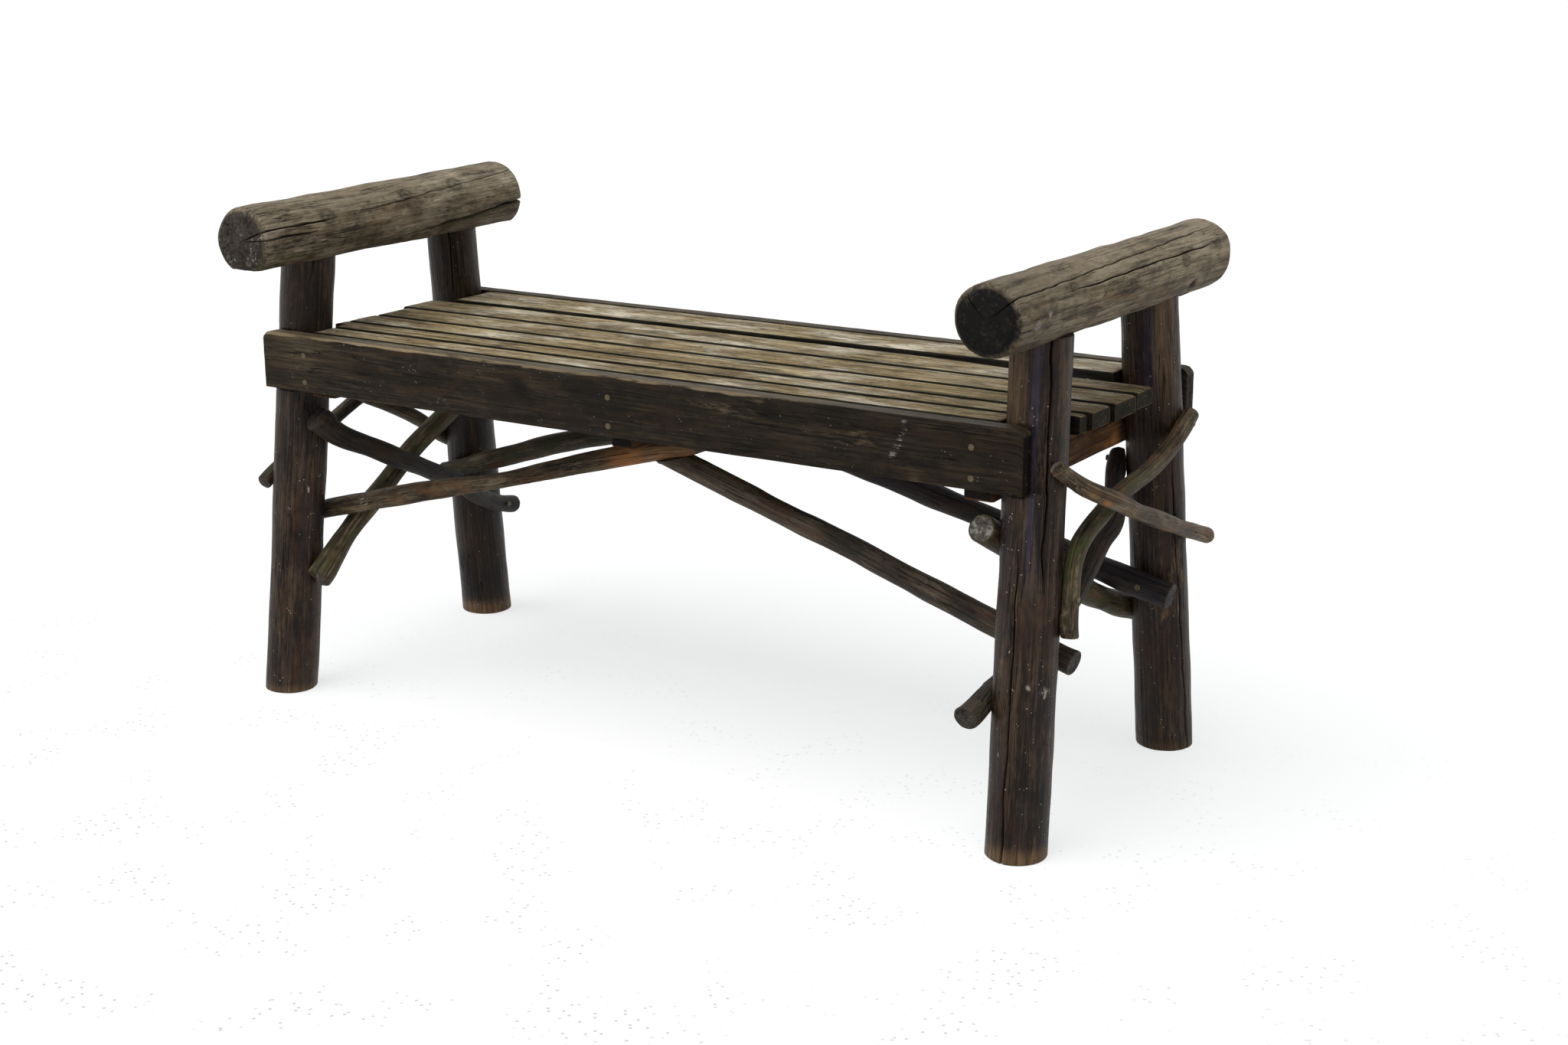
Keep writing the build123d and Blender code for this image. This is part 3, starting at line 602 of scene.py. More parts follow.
def board_piece(node, slot, arrises, seed, stains, knots=(), gap_shade=0.0):
    """A sawn board over a CAD node, with worn arrises and a raised grain.

    arrises are its four long corners, from the low one on its first side round over the top.
    Its gap shade is how much painted shade it gets beside its narrow faces, which line narrow gaps.
    """
    solid = Solid(node)
    noise = Noise(seed)
    size = solid.high - solid.low
    lies_along_x = size.x > size.y
    ahead = Vector((1, 0, 0)) if lies_along_x else Vector((0, 1, 0))
    side = Vector((0, 1, 0)) if lies_along_x else Vector((-1, 0, 0))
    length = abs(size.dot(ahead))
    start = (solid.high + solid.low) / 2 - ahead * length / 2

    def section(place):
        """How far the board reaches to its two sides, down and up from the axis."""
        point = start + ahead * min(max(place, BOARD_INSET), length - BOARD_INSET)
        high_u = solid.wall(point, side, BOARD_REACH)
        low_u = solid.wall(point, -side, BOARD_REACH)
        between = point + side * (high_u - low_u) / 2
        probes = [between + side * offset for offset in PROBES]
        tops = [solid.wall(probe, UP, BOARD_REACH) or 0.0 for probe in probes]
        bottoms = [solid.wall(probe, -UP, BOARD_REACH) or 0.0 for probe in probes]
        return np.array([-low_u, high_u, -max(bottoms), max(tops)])

    places, sections = board_stations(section, length)
    for column in range(4):
        # A nail hole that a ray fell into shows as one narrow step, and is filled.
        padded = np.pad(sections[:, column], 2, mode="edge")
        usual = np.median([padded[k:k + len(places)] for k in range(5)], axis=0)
        step = np.abs(sections[:, column] - usual)
        sections[:, column] = np.where(step > BOARD_HOLE, usual, sections[:, column])
    caps = len(FACE_SHARES)
    shares = np.concatenate([FACE_SHARES, np.ones(len(places)), FACE_SHARES[::-1]])[:, None]
    is_face = shares < 1
    places = np.pad(places, caps, mode="edge")
    sections = np.pad(sections, ((caps, caps), (0, 0)), mode="edge")
    end_gap = np.minimum(places, length - places)
    rim_gap = np.clip(BOARD_RIM - end_gap, 0, BOARD_RIM)
    rounding = BOARD_RIM - np.sqrt(np.clip(BOARD_RIM ** 2 - rim_gap ** 2, 0, None))[:, None]

    profile = board_profile()
    share_u, share_v, lean_u, lean_v, first_arris, next_arris, blend = profile.T
    first_arris, next_arris = first_arris.astype(int), next_arris.astype(int)

    def between_arrises(values):
        return values[..., first_arris] * (1 - blend) + values[..., next_arris] * blend

    worn = np.array([arris_radius(arris, places, noise, number)
                     for number, arris in enumerate(arrises)]).T
    low_u, high_u, low_v, high_v = sections.T[..., None]
    centre_u, centre_v = (low_u + high_u) / 2, (low_v + high_v) / 2
    half_u, half_v = (high_u - low_u) / 2 - rounding, (high_v - low_v) / 2 - rounding
    radius = np.minimum(between_arrises(worn), np.minimum(half_u, half_v) * 0.95)
    across = share_u * (half_u - radius) + lean_u * radius
    height = share_v * (half_v - radius) + lean_v * radius

    along = np.repeat(places[:, None], len(profile), axis=1)
    local = np.stack([centre_u + across, centre_v + height, along], -1)
    relief = noise.layered(local / BOARD_RIPPLE_SIZE, 2) * BOARD_RIPPLE
    relief += noise.layered(local / BOARD_FIBRE_SIZE + 9, 2) * BOARD_FIBRE
    relief = (relief - BOARD_RIPPLE * 1.1 - BOARD_FIBRE) * MM
    knotted = np.zeros_like(relief)
    for knot in knots:
        looks_to = math.radians(knot.angle)
        facing = np.cos(np.arctan2(lean_v, lean_u) - looks_to) > 0.5
        on_face = height if abs(math.cos(looks_to)) > 0.7 else across
        gap = np.hypot(on_face - knot.across, (along - knot.place) * 0.7) / knot.radius
        relief += knot.height * np.exp(-gap ** 2) * facing
        knotted = np.maximum(knotted, knot.dark * np.exp(-(gap * 0.9) ** 4) * facing)
    relief_wear_and_light = np.clip(relief / ((BOARD_RIPPLE + BOARD_FIBRE) * MM) + 1.0, -1, 1)
    relief = np.clip(relief, -BOARD_RELIEF, 0.0)
    across = (across + lean_u * relief) * shares
    height = (height + lean_v * relief) * shares
    inwards = np.where(places < length / 2, 1.0, -1.0)[:, None]
    rough = np.abs(noise.layered(local / 0.006 + 3, 2)) * 0.4 * MM + 0.1 * MM
    along = along + inwards * rough * is_face
    points = (np.array(start) + along[..., None] * np.array(ahead)
              + (centre_u + across)[..., None] * np.array(side)
              + (centre_v + height)[..., None] * np.array(UP))

    # Painted shade beside the narrow faces, where the gaps between boards lie.
    side_gap = half_u - np.abs(across) + noise.layered(local / (0.01, 0.01, 0.03), 2) * 0.6 * MM
    shaded_near_side = 1 - smooth_step(side_gap, *GAP_SHADE_BAND)
    usual_radius = between_arrises(np.array([arris.radius for arris in arrises]))
    on_arris = (np.abs(lean_u) > 0.05) & (np.abs(lean_v) > 0.05) & (blend == 0)
    wear = np.clip((radius - usual_radius) / (3 * MM), 0, 1) * on_arris
    # Upward faces are paler: dried out, and painted top light.
    fields = {"face": is_face * 1.0, "knot": knotted, "wear": wear * ~is_face, "relief_wear_and_light": relief_wear_and_light,
              "dry": smooth_step(lean_v, 0.2, 0.8), "shade": gap_shade * shaded_near_side * ~is_face}
    grain = np.stack([across, height, along], -1)
    make_piece(node + "_board", node, slot, points, points[[0, -1]].mean(axis=1), grain, seed,
               fields, stains)


# ---- Materials ----
class Value:
    """A socket of a node graph that can be added, subtracted and multiplied."""

    def __init__(self, graph, socket):
        self.graph, self.socket = graph, socket

    def __add__(self, other):
        return self.graph.math("ADD", self, other)

    def __sub__(self, other):
        return self.graph.math("SUBTRACT", self, other)

    def __rsub__(self, other):
        return self.graph.math("SUBTRACT", other, self)

    def __mul__(self, other):
        return self.graph.math("MULTIPLY", self, other)


class Graph:
    """The nodes of a material or of the world, made in a few words."""

    def __init__(self, owner):
        owner.use_nodes = True
        self.owner = owner
        self.nodes, self.links = owner.node_tree.nodes, owner.node_tree.links

    def put(self, socket, value):
        if isinstance(value, Value):
            self.links.new(value.socket, socket)
        else:
            socket.default_value = value

    def node(self, kind, inputs, output=0, **settings):
        made = self.nodes.new(kind)
        for key, value in settings.items():
            setattr(made, key, value)
        for key, value in inputs.items():
            self.put(made.inputs[key], value)
        return Value(self, made.outputs[output])

    def attribute(self, name, output="Fac"):
        return self.node("ShaderNodeAttribute", {}, output, attribute_name=name)

    def noise(self, place, x, y, z, detail, roughness, distortion=0.0):
        """Noise about so many turns a metre fine along each axis of a place."""
        place = self.node("ShaderNodeMapping", {"Vector": place, "Scale": (x, y, z)})
        inputs = {"Vector": place, "Scale": 1.0, "Detail": detail, "Roughness": roughness,
                  "Distortion": distortion}
        return self.node("ShaderNodeTexNoise", inputs)

    def math(self, operation, first, second=0.0, clamp=False):
        inputs = {0: first, 1: second}
        return self.node("ShaderNodeMath", inputs, operation=operation, use_clamp=clamp)

    def weigh(self, *parts):
        """The sum of noises about their middle, each with its own weight."""
        terms = [(value - 0.5) * weight for value, weight in parts]
        return sum(terms[1:], terms[0])

    def step(self, value, low, high):
        """0 below low, 1 above high, smooth between; reversed where low is above high."""
        inputs = {"Value": value, "From Min": low, "From Max": high}
        return self.node("ShaderNodeMapRange", inputs, interpolation_type="SMOOTHSTEP")

    def ridge(self, value, low, high):
        """1 where a noise crosses its middle, as a thin line, and 0 elsewhere."""
        return self.step(self.math("ABSOLUTE", value - 0.5), high, low)

    def mix(self, share, first, second, blend="MIX"):
        inputs = {0: share, 6: first, 7: second}
        return self.node("ShaderNodeMix", inputs, 2, data_type="RGBA", blend_type=blend,
                         clamp_factor=True)

    def ramp(self, value, stops):
        made = self.nodes.new("ShaderNodeValToRGB")
        elements = made.color_ramp.elements
        while len(elements) < len(stops):
            elements.new(0.5)
        for element, (place, colour) in zip(elements, stops):
            element.position = place
            element.color = colour
        self.put(made.inputs[0], value)
        return Value(self, made.outputs[0])

    def surface(self, colour, roughness, height, relief):
        """Gives the material its colour, its roughness and a bump of so many millimetres."""
        bump = {"Height": height, "Distance": relief * MM, "Strength": 1.0}
        inputs = self.nodes["Principled BSDF"].inputs
        self.put(inputs["Base Color"], colour)
        self.put(inputs["Roughness"], roughness)
        self.put(inputs["Normal"], self.node("ShaderNodeBump", bump))


def paint(red, green, blue):
    """A colour as it looks on a screen, 0 to 255, made linear."""
    shares = [value / 255 for value in (red, green, blue)]
    linear = [s / 12.92 if s <= 0.04045 else ((s + 0.055) / 1.055) ** 2.4 for s in shares]
    return (*linear, 1.0)


MOSS = paint(62, 66, 34)
# A bluish colour for painted highlights on dark wood.
PAINTED_HIGHLIGHT_BLUE = paint(52, 52, 74)
CHALK = paint(160, 152, 142)
SPECK = paint(190, 182, 170)
PALE_END = paint(182, 176, 166)
USUAL_LOOK = {"bare_amount": 0.0, "warm_amount": 0.5, "cool": None, "specks": 0.0,
              "contrast": 1.0, "stain": 0.5, "dry": None}


def wood(name, **given):
    """Wood with streaks and fibres along its grain, stains, checks, knots, bare wear and ends.

    What is given are the colours of one kind of wood, as they look on a screen, and its finish.
    """
    look = SimpleNamespace(**{key: paint(*value) if isinstance(value, tuple) else value
                              for key, value in {**USUAL_LOOK, **given}.items()})
    graph = Graph(bpy.data.materials.new(name))
    attribute, mix, step, weigh = graph.attribute, graph.mix, graph.step, graph.weigh
    grain = attribute("grain", "Vector")

    def noise(across, along, *settings):
        """Noise with so many turns a metre across the grain and along it."""
        return graph.noise(grain, across, across, along, *settings)

    fibres = noise(1100, 30, 3, 0.6)
    streaks = noise(330, 9, 5, 0.65, 0.5)
    bands = noise(75, 5, 4, 0.55, 1.0)
    blotches = noise(30, 16, 5, 0.62, 0.5)
    mottle = noise(190, 80, 6, 0.72, 0.3)

    tone = weigh((streaks, 1.5), (bands, 0.9), (fibres, 0.8), (mottle, 0.8)) * look.contrast
    # Raised grain is paler and hollows darker: partly weathered fibres, partly painted highlight and
    # shade.
    tone = tone + attribute("relief_wear_and_light") * 0.16 + 0.5
    colour = graph.ramp(tone, [(0.12, look.dark), (0.48, look.body), (0.9, look.light)])

    def lay(share, over, blend="MIX"):
        """Lays a colour over what is there."""
        nonlocal colour
        colour = mix(share, colour, over, blend)

    warmed = step(noise(42, 12, 4, 0.6, 0.8), 0.5, 0.64) * look.warm_amount
    lay(warmed, look.warm)
    # Patches of painted bluish sheen on dark wood.
    if look.cool:
        sheen_patches = step(noise(60, 6, 3, 0.5, 0.5), 0.53, 0.66) * look.cool_amount
        lay(sheen_patches, look.cool)
    lay(step(blotches, 0.5, 0.36) * look.stain, look.dark)
    lay(step(mottle, 0.42, 0.32) * 0.75, look.dark)
    mossy = step(noise(70, 40, 5, 0.65), 0.42, 0.6) * attribute("moss")
    lay(mossy * 0.8, MOSS)

    # Faces that look up are paler, in streaks: partly dried out, partly painted top light.
    if look.dry:
        streaked = weigh((streaks, 1.6), (bands, 1.2), (blotches, 1.4), (mottle, 0.8))
        top_paling = attribute("dry") * (streaked + look.dry_amount)
        lay(graph.math("MINIMUM", top_paling, 0.92), mix(mottle, look.body, look.dry))

    # Bare patches, where the surface has worn or flaked off, most of all on worn arrises.
    flakes = noise(210, 36, 7, 0.72, 0.6)
    level = weigh((flakes, 0.62), (noise(22, 9, 4, 0.55), 0.75))
    level = level + attribute("wear") * 0.36 + attribute("pale") * 0.12
    threshold = 0.2 - look.bare_amount
    flaked = step(level, threshold, threshold + 0.035)
    lay(flaked, mix(mottle, look.light, look.bare))
    dust = step(level, threshold - 0.12, threshold + 0.02) * 0.35
    lay(dust, look.bare)

    # Fine drying checks that run with the grain.
    zone = step(noise(34, 8, 2, 0.5), 0.47, 0.56)
    line = graph.ridge(noise(150, 4, 3, 0.5, 0.4), 0.003, 0.014) * zone
    crack = graph.math("MAXIMUM", line * 0.85, attribute("crack"))
    lay(attribute("knot") * 0.9, look.crack)

    # Fresh wood where the skin has worn off, a painted bluish highlight, and chalky marks.
    fresh = attribute("glow") * (weigh((streaks, 2.2), (flakes, 1.6)) + 0.62)
    lay(fresh, mix(fibres, look.warm, look.bare))
    highlight_streaks = attribute("painted_highlight") * (weigh((streaks, 1.5), (bands, 1.0)) + 0.6)
    lay(highlight_streaks, PAINTED_HIGHLIGHT_BLUE)
    chalk = attribute("chalk")
    chalky = step(chalk + weigh((flakes, 2.6), (mottle, 2.0)), 0.45, 0.62)
    lay(chalky * step(chalk, 0.1, 0.4), CHALK)
    if look.specks:
        cells = graph.node("ShaderNodeTexVoronoi", {"Vector": grain, "Scale": 210.0})
        speck = step(cells, 0.17, 0.1) * step(noise(75, 75, 1, 0.5), 0.58, 0.64)
        lay(speck * look.specks, SPECK)

    # Sawn ends: faint rings round the heart, with dark checks that run out from it.
    heart = attribute("heart")
    fine_end = noise(260, 260, 5, 0.65)
    coarse_end = noise(55, 55, 3, 0.5)
    rings = graph.math("SINE", heart * 46.0 + coarse_end * 22.0)
    end_tone = weigh((fine_end, 1.6), (coarse_end, 1.2)) + rings * 0.04
    end_tone = end_tone + attribute("sawn") + 0.5
    end_colour = graph.ramp(end_tone, [(0.1, look.end_dark), (0.8, look.end_light),
                                       (1.0, PALE_END)])
    fan = {"X": attribute("spin") * 1.6, "Y": heart * 0.5}
    rays = graph.noise(graph.node("ShaderNodeCombineXYZ", fan), 1, 1, 1, 3, 0.5)
    end_colour = mix(graph.ridge(rays, 0.002, 0.008) * 0.8, end_colour, look.crack)
    lay(attribute("face"), end_colour)
    lay(crack, look.crack)
    shade = 1.0 - attribute("shade")
    grey = graph.node("ShaderNodeCombineColor", {"Red": shade, "Green": shade, "Blue": shade})
    lay(1.0, grey, "MULTIPLY")

    gloss = weigh((streaks, 0.5), (mottle, 0.5)) + look.roughness
    gloss = graph.math("ADD", gloss, flaked * 0.25, clamp=True)
    gloss = graph.math("MAXIMUM", gloss, crack * 0.9)
    height = weigh((fibres, 0.6), (streaks, 1.1), (mottle, 0.7)) - flaked * 0.3 - line * 0.8
    graph.surface(colour, gloss, height, look.relief)
    graph.nodes["Principled BSDF"].inputs["Specular IOR Level"].default_value = look.sheen
    return graph.owner


def nail_steel(name):
    """Dull steel with rust in blotches."""
    graph = Graph(bpy.data.materials.new(name))
    place = graph.node("ShaderNodeTexCoord", {}, "Object")
    rust = graph.noise(place, 420, 420, 420, 5, 0.65)
    fine = graph.noise(place, 1600, 1600, 1600, 3, 0.6)
    rusty = graph.step(rust, 0.47, 0.6)
    steel = graph.mix(fine, paint(66, 58, 40), paint(102, 92, 66))
    colour = graph.mix(rusty, steel, graph.mix(fine, paint(58, 42, 20), paint(104, 80, 42)))
    graph.surface(colour, rusty * 0.35 + 0.4, rust + fine, 0.25)
    graph.put(graph.nodes["Principled BSDF"].inputs["Metallic"], 0.2 - rusty * 0.15)
    return graph.owner


looks = {
    # The dark logs have patches of painted bluish sheen.
    "dark_log": dict(
        dark=(7, 5, 4), body=(32, 23, 17), light=(78, 62, 48), bare=(172, 138, 100),
        crack=(1, 1, 1), end_dark=(14, 10, 8), end_light=(70, 54, 40), roughness=0.4, relief=0.7,
        bare_amount=-0.05, specks=0.8, sheen=0.16, warm=(58, 33, 21), cool=(40, 38, 48),
        cool_amount=0.3, contrast=1.2),
    "weathered_log": dict(
        dark=(34, 28, 21), body=(104, 93, 74), light=(162, 149, 126), bare=(192, 178, 156),
        crack=(9, 7, 5), end_dark=(18, 15, 14), end_light=(84, 76, 68), roughness=0.68, relief=0.9,
        sheen=0.12, warm=(112, 86, 58), contrast=1.15, dry=(172, 158, 138), dry_amount=0.45),
    "dark_board": dict(
        dark=(15, 12, 8), body=(42, 35, 26), light=(76, 66, 51), bare=(166, 146, 116),
        crack=(5, 4, 3), end_dark=(12, 10, 8), end_light=(58, 48, 38), roughness=0.55, relief=0.7,
        bare_amount=-0.05, specks=0.5, sheen=0.1, warm=(58, 43, 29), contrast=0.9,
        dry=(172, 156, 126), dry_amount=0.6),
    "rail_board": dict(
        dark=(36, 22, 13), body=(82, 58, 38), light=(118, 88, 60), bare=(206, 146, 92),
        crack=(10, 6, 4), end_dark=(20, 14, 9), end_light=(70, 52, 36), roughness=0.65, relief=0.8,
        sheen=0.12, warm=(150, 100, 58), warm_amount=0.3),
    "seat_board": dict(
        dark=(38, 30, 18), body=(138, 121, 87), light=(200, 184, 146), bare=(226, 218, 200),
        crack=(10, 7, 4), end_dark=(48, 42, 32), end_light=(116, 107, 88), roughness=0.7,
        relief=0.9, sheen=0.06, warm=(132, 106, 66), warm_amount=0.3, stain=0.45),
    "branch": dict(
        dark=(26, 20, 14), body=(84, 71, 54), light=(142, 127, 103), bare=(196, 130, 70),
        crack=(8, 6, 4), end_dark=(26, 24, 22), end_light=(112, 104, 94), roughness=0.58,
        relief=1.0, bare_amount=-0.05, sheen=0.16, warm=(112, 76, 46), contrast=1.1),
}
materials = {name: wood(name, **look) for name, look in looks.items()}
materials["nail_steel"] = nail_steel("nail_steel")

# ---- Legs ----
leg_top = Solid("armrest_left").low.z
LEG_CUTS = (0.12, 0.32)  # heights at which a leg's round section is measured
LEG_REACH = 0.08  # by rays that start this far from its axis
ALL_ROUND = (-999, 999, 1)


def leg_piece(name, splits, knots, seed, patches, chalk):
    """A leg's log from its foot to its shoulder, with the notch for its apron.

    patches holds, for an attribute that the wood reads, the strength, the angles and the heights
    of each of its patches. Angles are in degrees round the log from the front towards the right,
    heights in millimetres, and the third value of each is how soft its limits are.
    """
    node = "leg_" + name
    solid = Solid(node)
    middle = (solid.low + solid.high) / 2
    starts = [Vector((middle.x, middle.y, height)) for height in LEG_CUTS]
    low, high = log_axis(solid, starts, UP, LEG_REACH)
    slope = (high - low) / (high[Z] - low[Z])
    foot = low - slope * low[Z]

    def stain(parts):
        def painted(points):
            gaps = points - foot - slope * points[:, Z:]
            angle = np.degrees(np.arctan2(gaps[:, X], -gaps[:, Y]))
            return sum(strength * band(angle, *angles) * band(points[:, Z] / MM, *heights)
                       for strength, angles, heights in parts)
        return painted

    stains = {key: stain(parts) for key, parts in patches.items()}
    stains["chalk"] = spots(*chalk)
    line = LevelLine(foot, foot + slope * leg_top)
    round_piece(node, solid, line, LOG_BARK, splits, knots, seed, stains)


leg_piece("front_left", [Split(120, 0.05, 0.4, 0.003, 0.01, 12)],
          [Knot(62, 0.359, 0.01, -0.003, 1.0), Knot(45, 0.199, 0.006, -0.001, 0.8)], 11,
          {"glow": [(0.5, ALL_ROUND, (-20, 8, 6))]}, [(-481.1, -170.4, 255.0, 6, 0.6)])
# The front right leg's bluish band is a painted highlight.
leg_piece("front_right", [Split(46, 0.27, 0.62, 0.005, 0.018, -8, 4),
                          Split(-1, -0.1, 0.335, 0.0042, 0.015, 6, 3)], [], 12,
          {"glow": [(0.75, ALL_ROUND, (-20, 14, 8)), (0.4, (-45, -2, 10), (385, 520, 30))],
           "painted_highlight": [(0.8, (14, 27, 5), (300, 560, 40))]},
          [(523.3, -175.7, 179.4, 8, 0.62), (511.2, -189.7, 185.4, 5, 0.45),
           (484.0, -201.2, 113.8, 3.5, 0.6), (485.5, -203.3, 98.1, 3, 0.55)])
leg_piece("back_left", [Split(35, 0.45, 0.6, 0.003, 0.009)], [], 13,
          {"glow": [(1.1, ALL_ROUND, (-20, 17, 7))], "shade": [(0.4, ALL_ROUND, (20, 999, 10))]},
          [])
# The back right leg's bluish patch is a painted highlight.
leg_piece("back_right", [Split(68, -0.06, 0.37, 0.0045, 0.013, -18, 5)], [], 14,
          {"glow": [(0.4, ALL_ROUND, (-20, 10, 6)), (0.55, (30, 80, 10), (430, 560, 30))],
           "painted_highlight": [(0.5, (5, 28, 8), (430, 560, 40))],
           "shade": [(0.15, ALL_ROUND, (-99, 999, 10))]}, [])


# ---- Armrests ----
ARM_RADIUS = 0.04  # about; the arm's axis is measured from its round upper side
ARM_CUTS = (0.12, 0.88)  # where, as shares of its length
ARM_REACH = 0.1  # by rays that start this far from its axis
UPPER_ARC = np.radians(np.linspace(30, 150, 13))


def arm_piece(side, splits, knots, seed, stains):
    """An armrest's log, flat where it sits on its legs."""
    node = "armrest_" + side
    solid = Solid(node)
    middle_x = (solid.low.x + solid.high.x) / 2
    depth = solid.high.y - solid.low.y
    starts = [Vector((middle_x, solid.low.y + share * depth, solid.high.z - ARM_RADIUS))
              for share in ARM_CUTS]
    near, far = log_axis(solid, starts, Vector((0, 1, 0)), ARM_REACH, UPPER_ARC)
    slope = (far - near) / (far[Y] - near[Y])
    front = near + slope * (solid.low.y - near[Y])
    back = near + slope * (solid.high.y - near[Y])

    def fill_mortises(girth, centres, outs):
        """The flats stay; the holes for the tenons, which the legs fill, are closed."""
        down = -outs[..., 2]
        room = centres[:, None, 2] - leg_top
        to_flat = np.where(down > 0.2, room / np.maximum(down, 0.2), np.inf)
        usual = np.median(girth, axis=1)[:, None]
        return np.maximum(girth, np.minimum(to_flat, usual))

    line = Line(np.array([front, back]), UP, 0)
    round_piece(node, solid, line, ARM_BARK, splits, knots, seed, stains, fill_mortises)


arm_piece("left", [Split(95, 0.25, 0.75, 0.007, 0.018, -60, 2),
                   Split(48, 0.17, 0.6, 0.0018, 0.008, -36, 3),
                   Split(68, -0.06, 0.13, 0.005, 0.006, 0, 2),
                   Split(84, -0.06, 0.1, 0.004, 0.005, 0, 2)],
          [Knot(63, 0.112, 0.012, 0.0012, 0.8), Knot(51, 0.26, 0.01, 0.0012, 0.7),
           Knot(70, 0.268, 0.013, 0.002, 0.5), Knot(48, 0.359, 0.012, 0.0014, 0.8)], 21,
          {"sawn": 0.12, "pale": 0.7, "moss": rise(Z, 0.575, 0.555, 0.7),
           "shade": rise(Z, 0.588, 0.545, 0.36)})
shaded_below, shaded_in_front = rise(Z, 0.575, 0.545, 0.25), rise(Y, -0.05, -0.22, 0.3)
arm_piece("right", [Split(43, -0.1, 0.5, 0.0026, 0.012, -27, 3),
                    Split(63, 0.1, 0.47, 0.0024, 0.01, -5, 2),
                    Split(18, 0.24, 0.47, 0.001, 0.004, -4, 3),
                    Split(-42, -0.1, 0.03, 0.004, 0.012)],
          [Knot(61, 0.122, 0.008, 0.0008, 0.8), Knot(74, 0.378, 0.009, 0.001, 0.8),
           Knot(66, 0.465, 0.007, 0.0008, 0.6), Knot(122, 0.41, 0.006, -0.003, 1.0)], 22,
          {"sawn": -0.45,
           "chalk": spots((522.5, -212.9, 560.4, 6, 0.9), (523.7, -187.6, 567.6, 5, 0.8)),
           "glow": spots((524.3, -121.1, 574.8, 12, 0.6), (527.4, 174.2, 552.0, 7, 1.0)),
           "shade": lambda points: shaded_below(points) + shaded_in_front(points)})

# ---- Aprons, rails and slats ----
smear = [(347.0 + 13.0 * share, -182.3, 406.0 + 34.0 * share, 6, 0.52)
         for share in np.linspace(0, 1, 7)]
thin, round_one = Arris(1.2 * MM), Arris(1.5 * MM)
board_piece("apron_front", "dark_board",
            [thin, Arris(1.0 * MM), Arris(1.0 * MM, 2.6 * MM, -0.1, 0.8), thin], 31,
            {"dry": lambda points: 0.8 - 0.6 * smooth_step(points[:, X], 0.2, 0.34),
             "shade": rise(X, -0.38, -0.05, 0.32),
             "chalk": spots(*smear, (-235.8, -182.3, 408.8, 5, 0.4)),
             "glow": spots((-470.0, -182.3, 445.0, 40, 0.5), (372.0, -182.3, 384.0, 5, 0.8))},
            [Knot(180, 0.392, 0.01, 0.0008, 0.9, across=0.008)])
board_piece("apron_back", "dark_board", [thin, Arris(1.5 * MM, 1.5 * MM), thin, thin], 32,
            {"dry": 0.2})
for number, side in enumerate(("left", "middle", "right")):
    board_piece("cross_rail_" + side, "rail_board", [round_one] * 4, 41 + number,
                {"glow": spots((453.7, 134.9, 368.0, 14, 1.5), (453.7, 112.0, 365.0, 6, 0.8)),
                 "shade": 0.6 if side == "middle" else 0.0})
slat_arris = Arris(1.6 * MM, 0.8 * MM)
slat_pale = (0.6, 0.5, 0.6, 0.8, 1.0, 1.1)  # how flaked each is, from the front one on
for number, pale in enumerate(slat_pale, start=1):
    board_piece(f"seat_slat_{number}", "seat_board", [thin, slat_arris, slat_arris, thin],
                50 + number,
                {"pale": pale, "shade": rise(X, 0.22, 0.48, 0.3),
                 "glow": spots((306.1, 13.0, 450.0, 30, 0.45), (215.0, 40.0, 450.0, 25, 0.3))},
                gap_shade=0.97)

# ---- Branches ----
TWIG_SPACING = 0.085


def branch_piece(node, seed, stains):
    """A bent branch with an uneven girth and the knots of its twigs."""
    solid = Solid(node)
    line = Line(trace_branch(solid), (0.05, -1, 0.2), 3)
    random = np.random.default_rng(seed)
    knots = []
    for place in np.arange(0.05, line.length - 0.04, TWIG_SPACING):
        knots.append(Knot(random.uniform(0, 360), place + random.uniform(-0.03, 0.03),
                          random.uniform(0.004, 0.007), random.uniform(0.0006, 0.0016),
                          random.uniform(0.3, 0.8)))
    splits = [Split(random.uniform(0, 360), random.uniform(0, 0.3) * line.length,
                    random.uniform(0.6, 1) * line.length, 0.0012, 0.003, 10, 8)]
    round_piece(node, solid, line, BRANCH_BARK, splits, knots, seed, stains)


def moss_across_kink(points):
    """Moss that grows where the outer rising branch bends over."""
    return 0.3 + 1.2 * band(points[:, Z], 0.27, 0.36, 0.02)


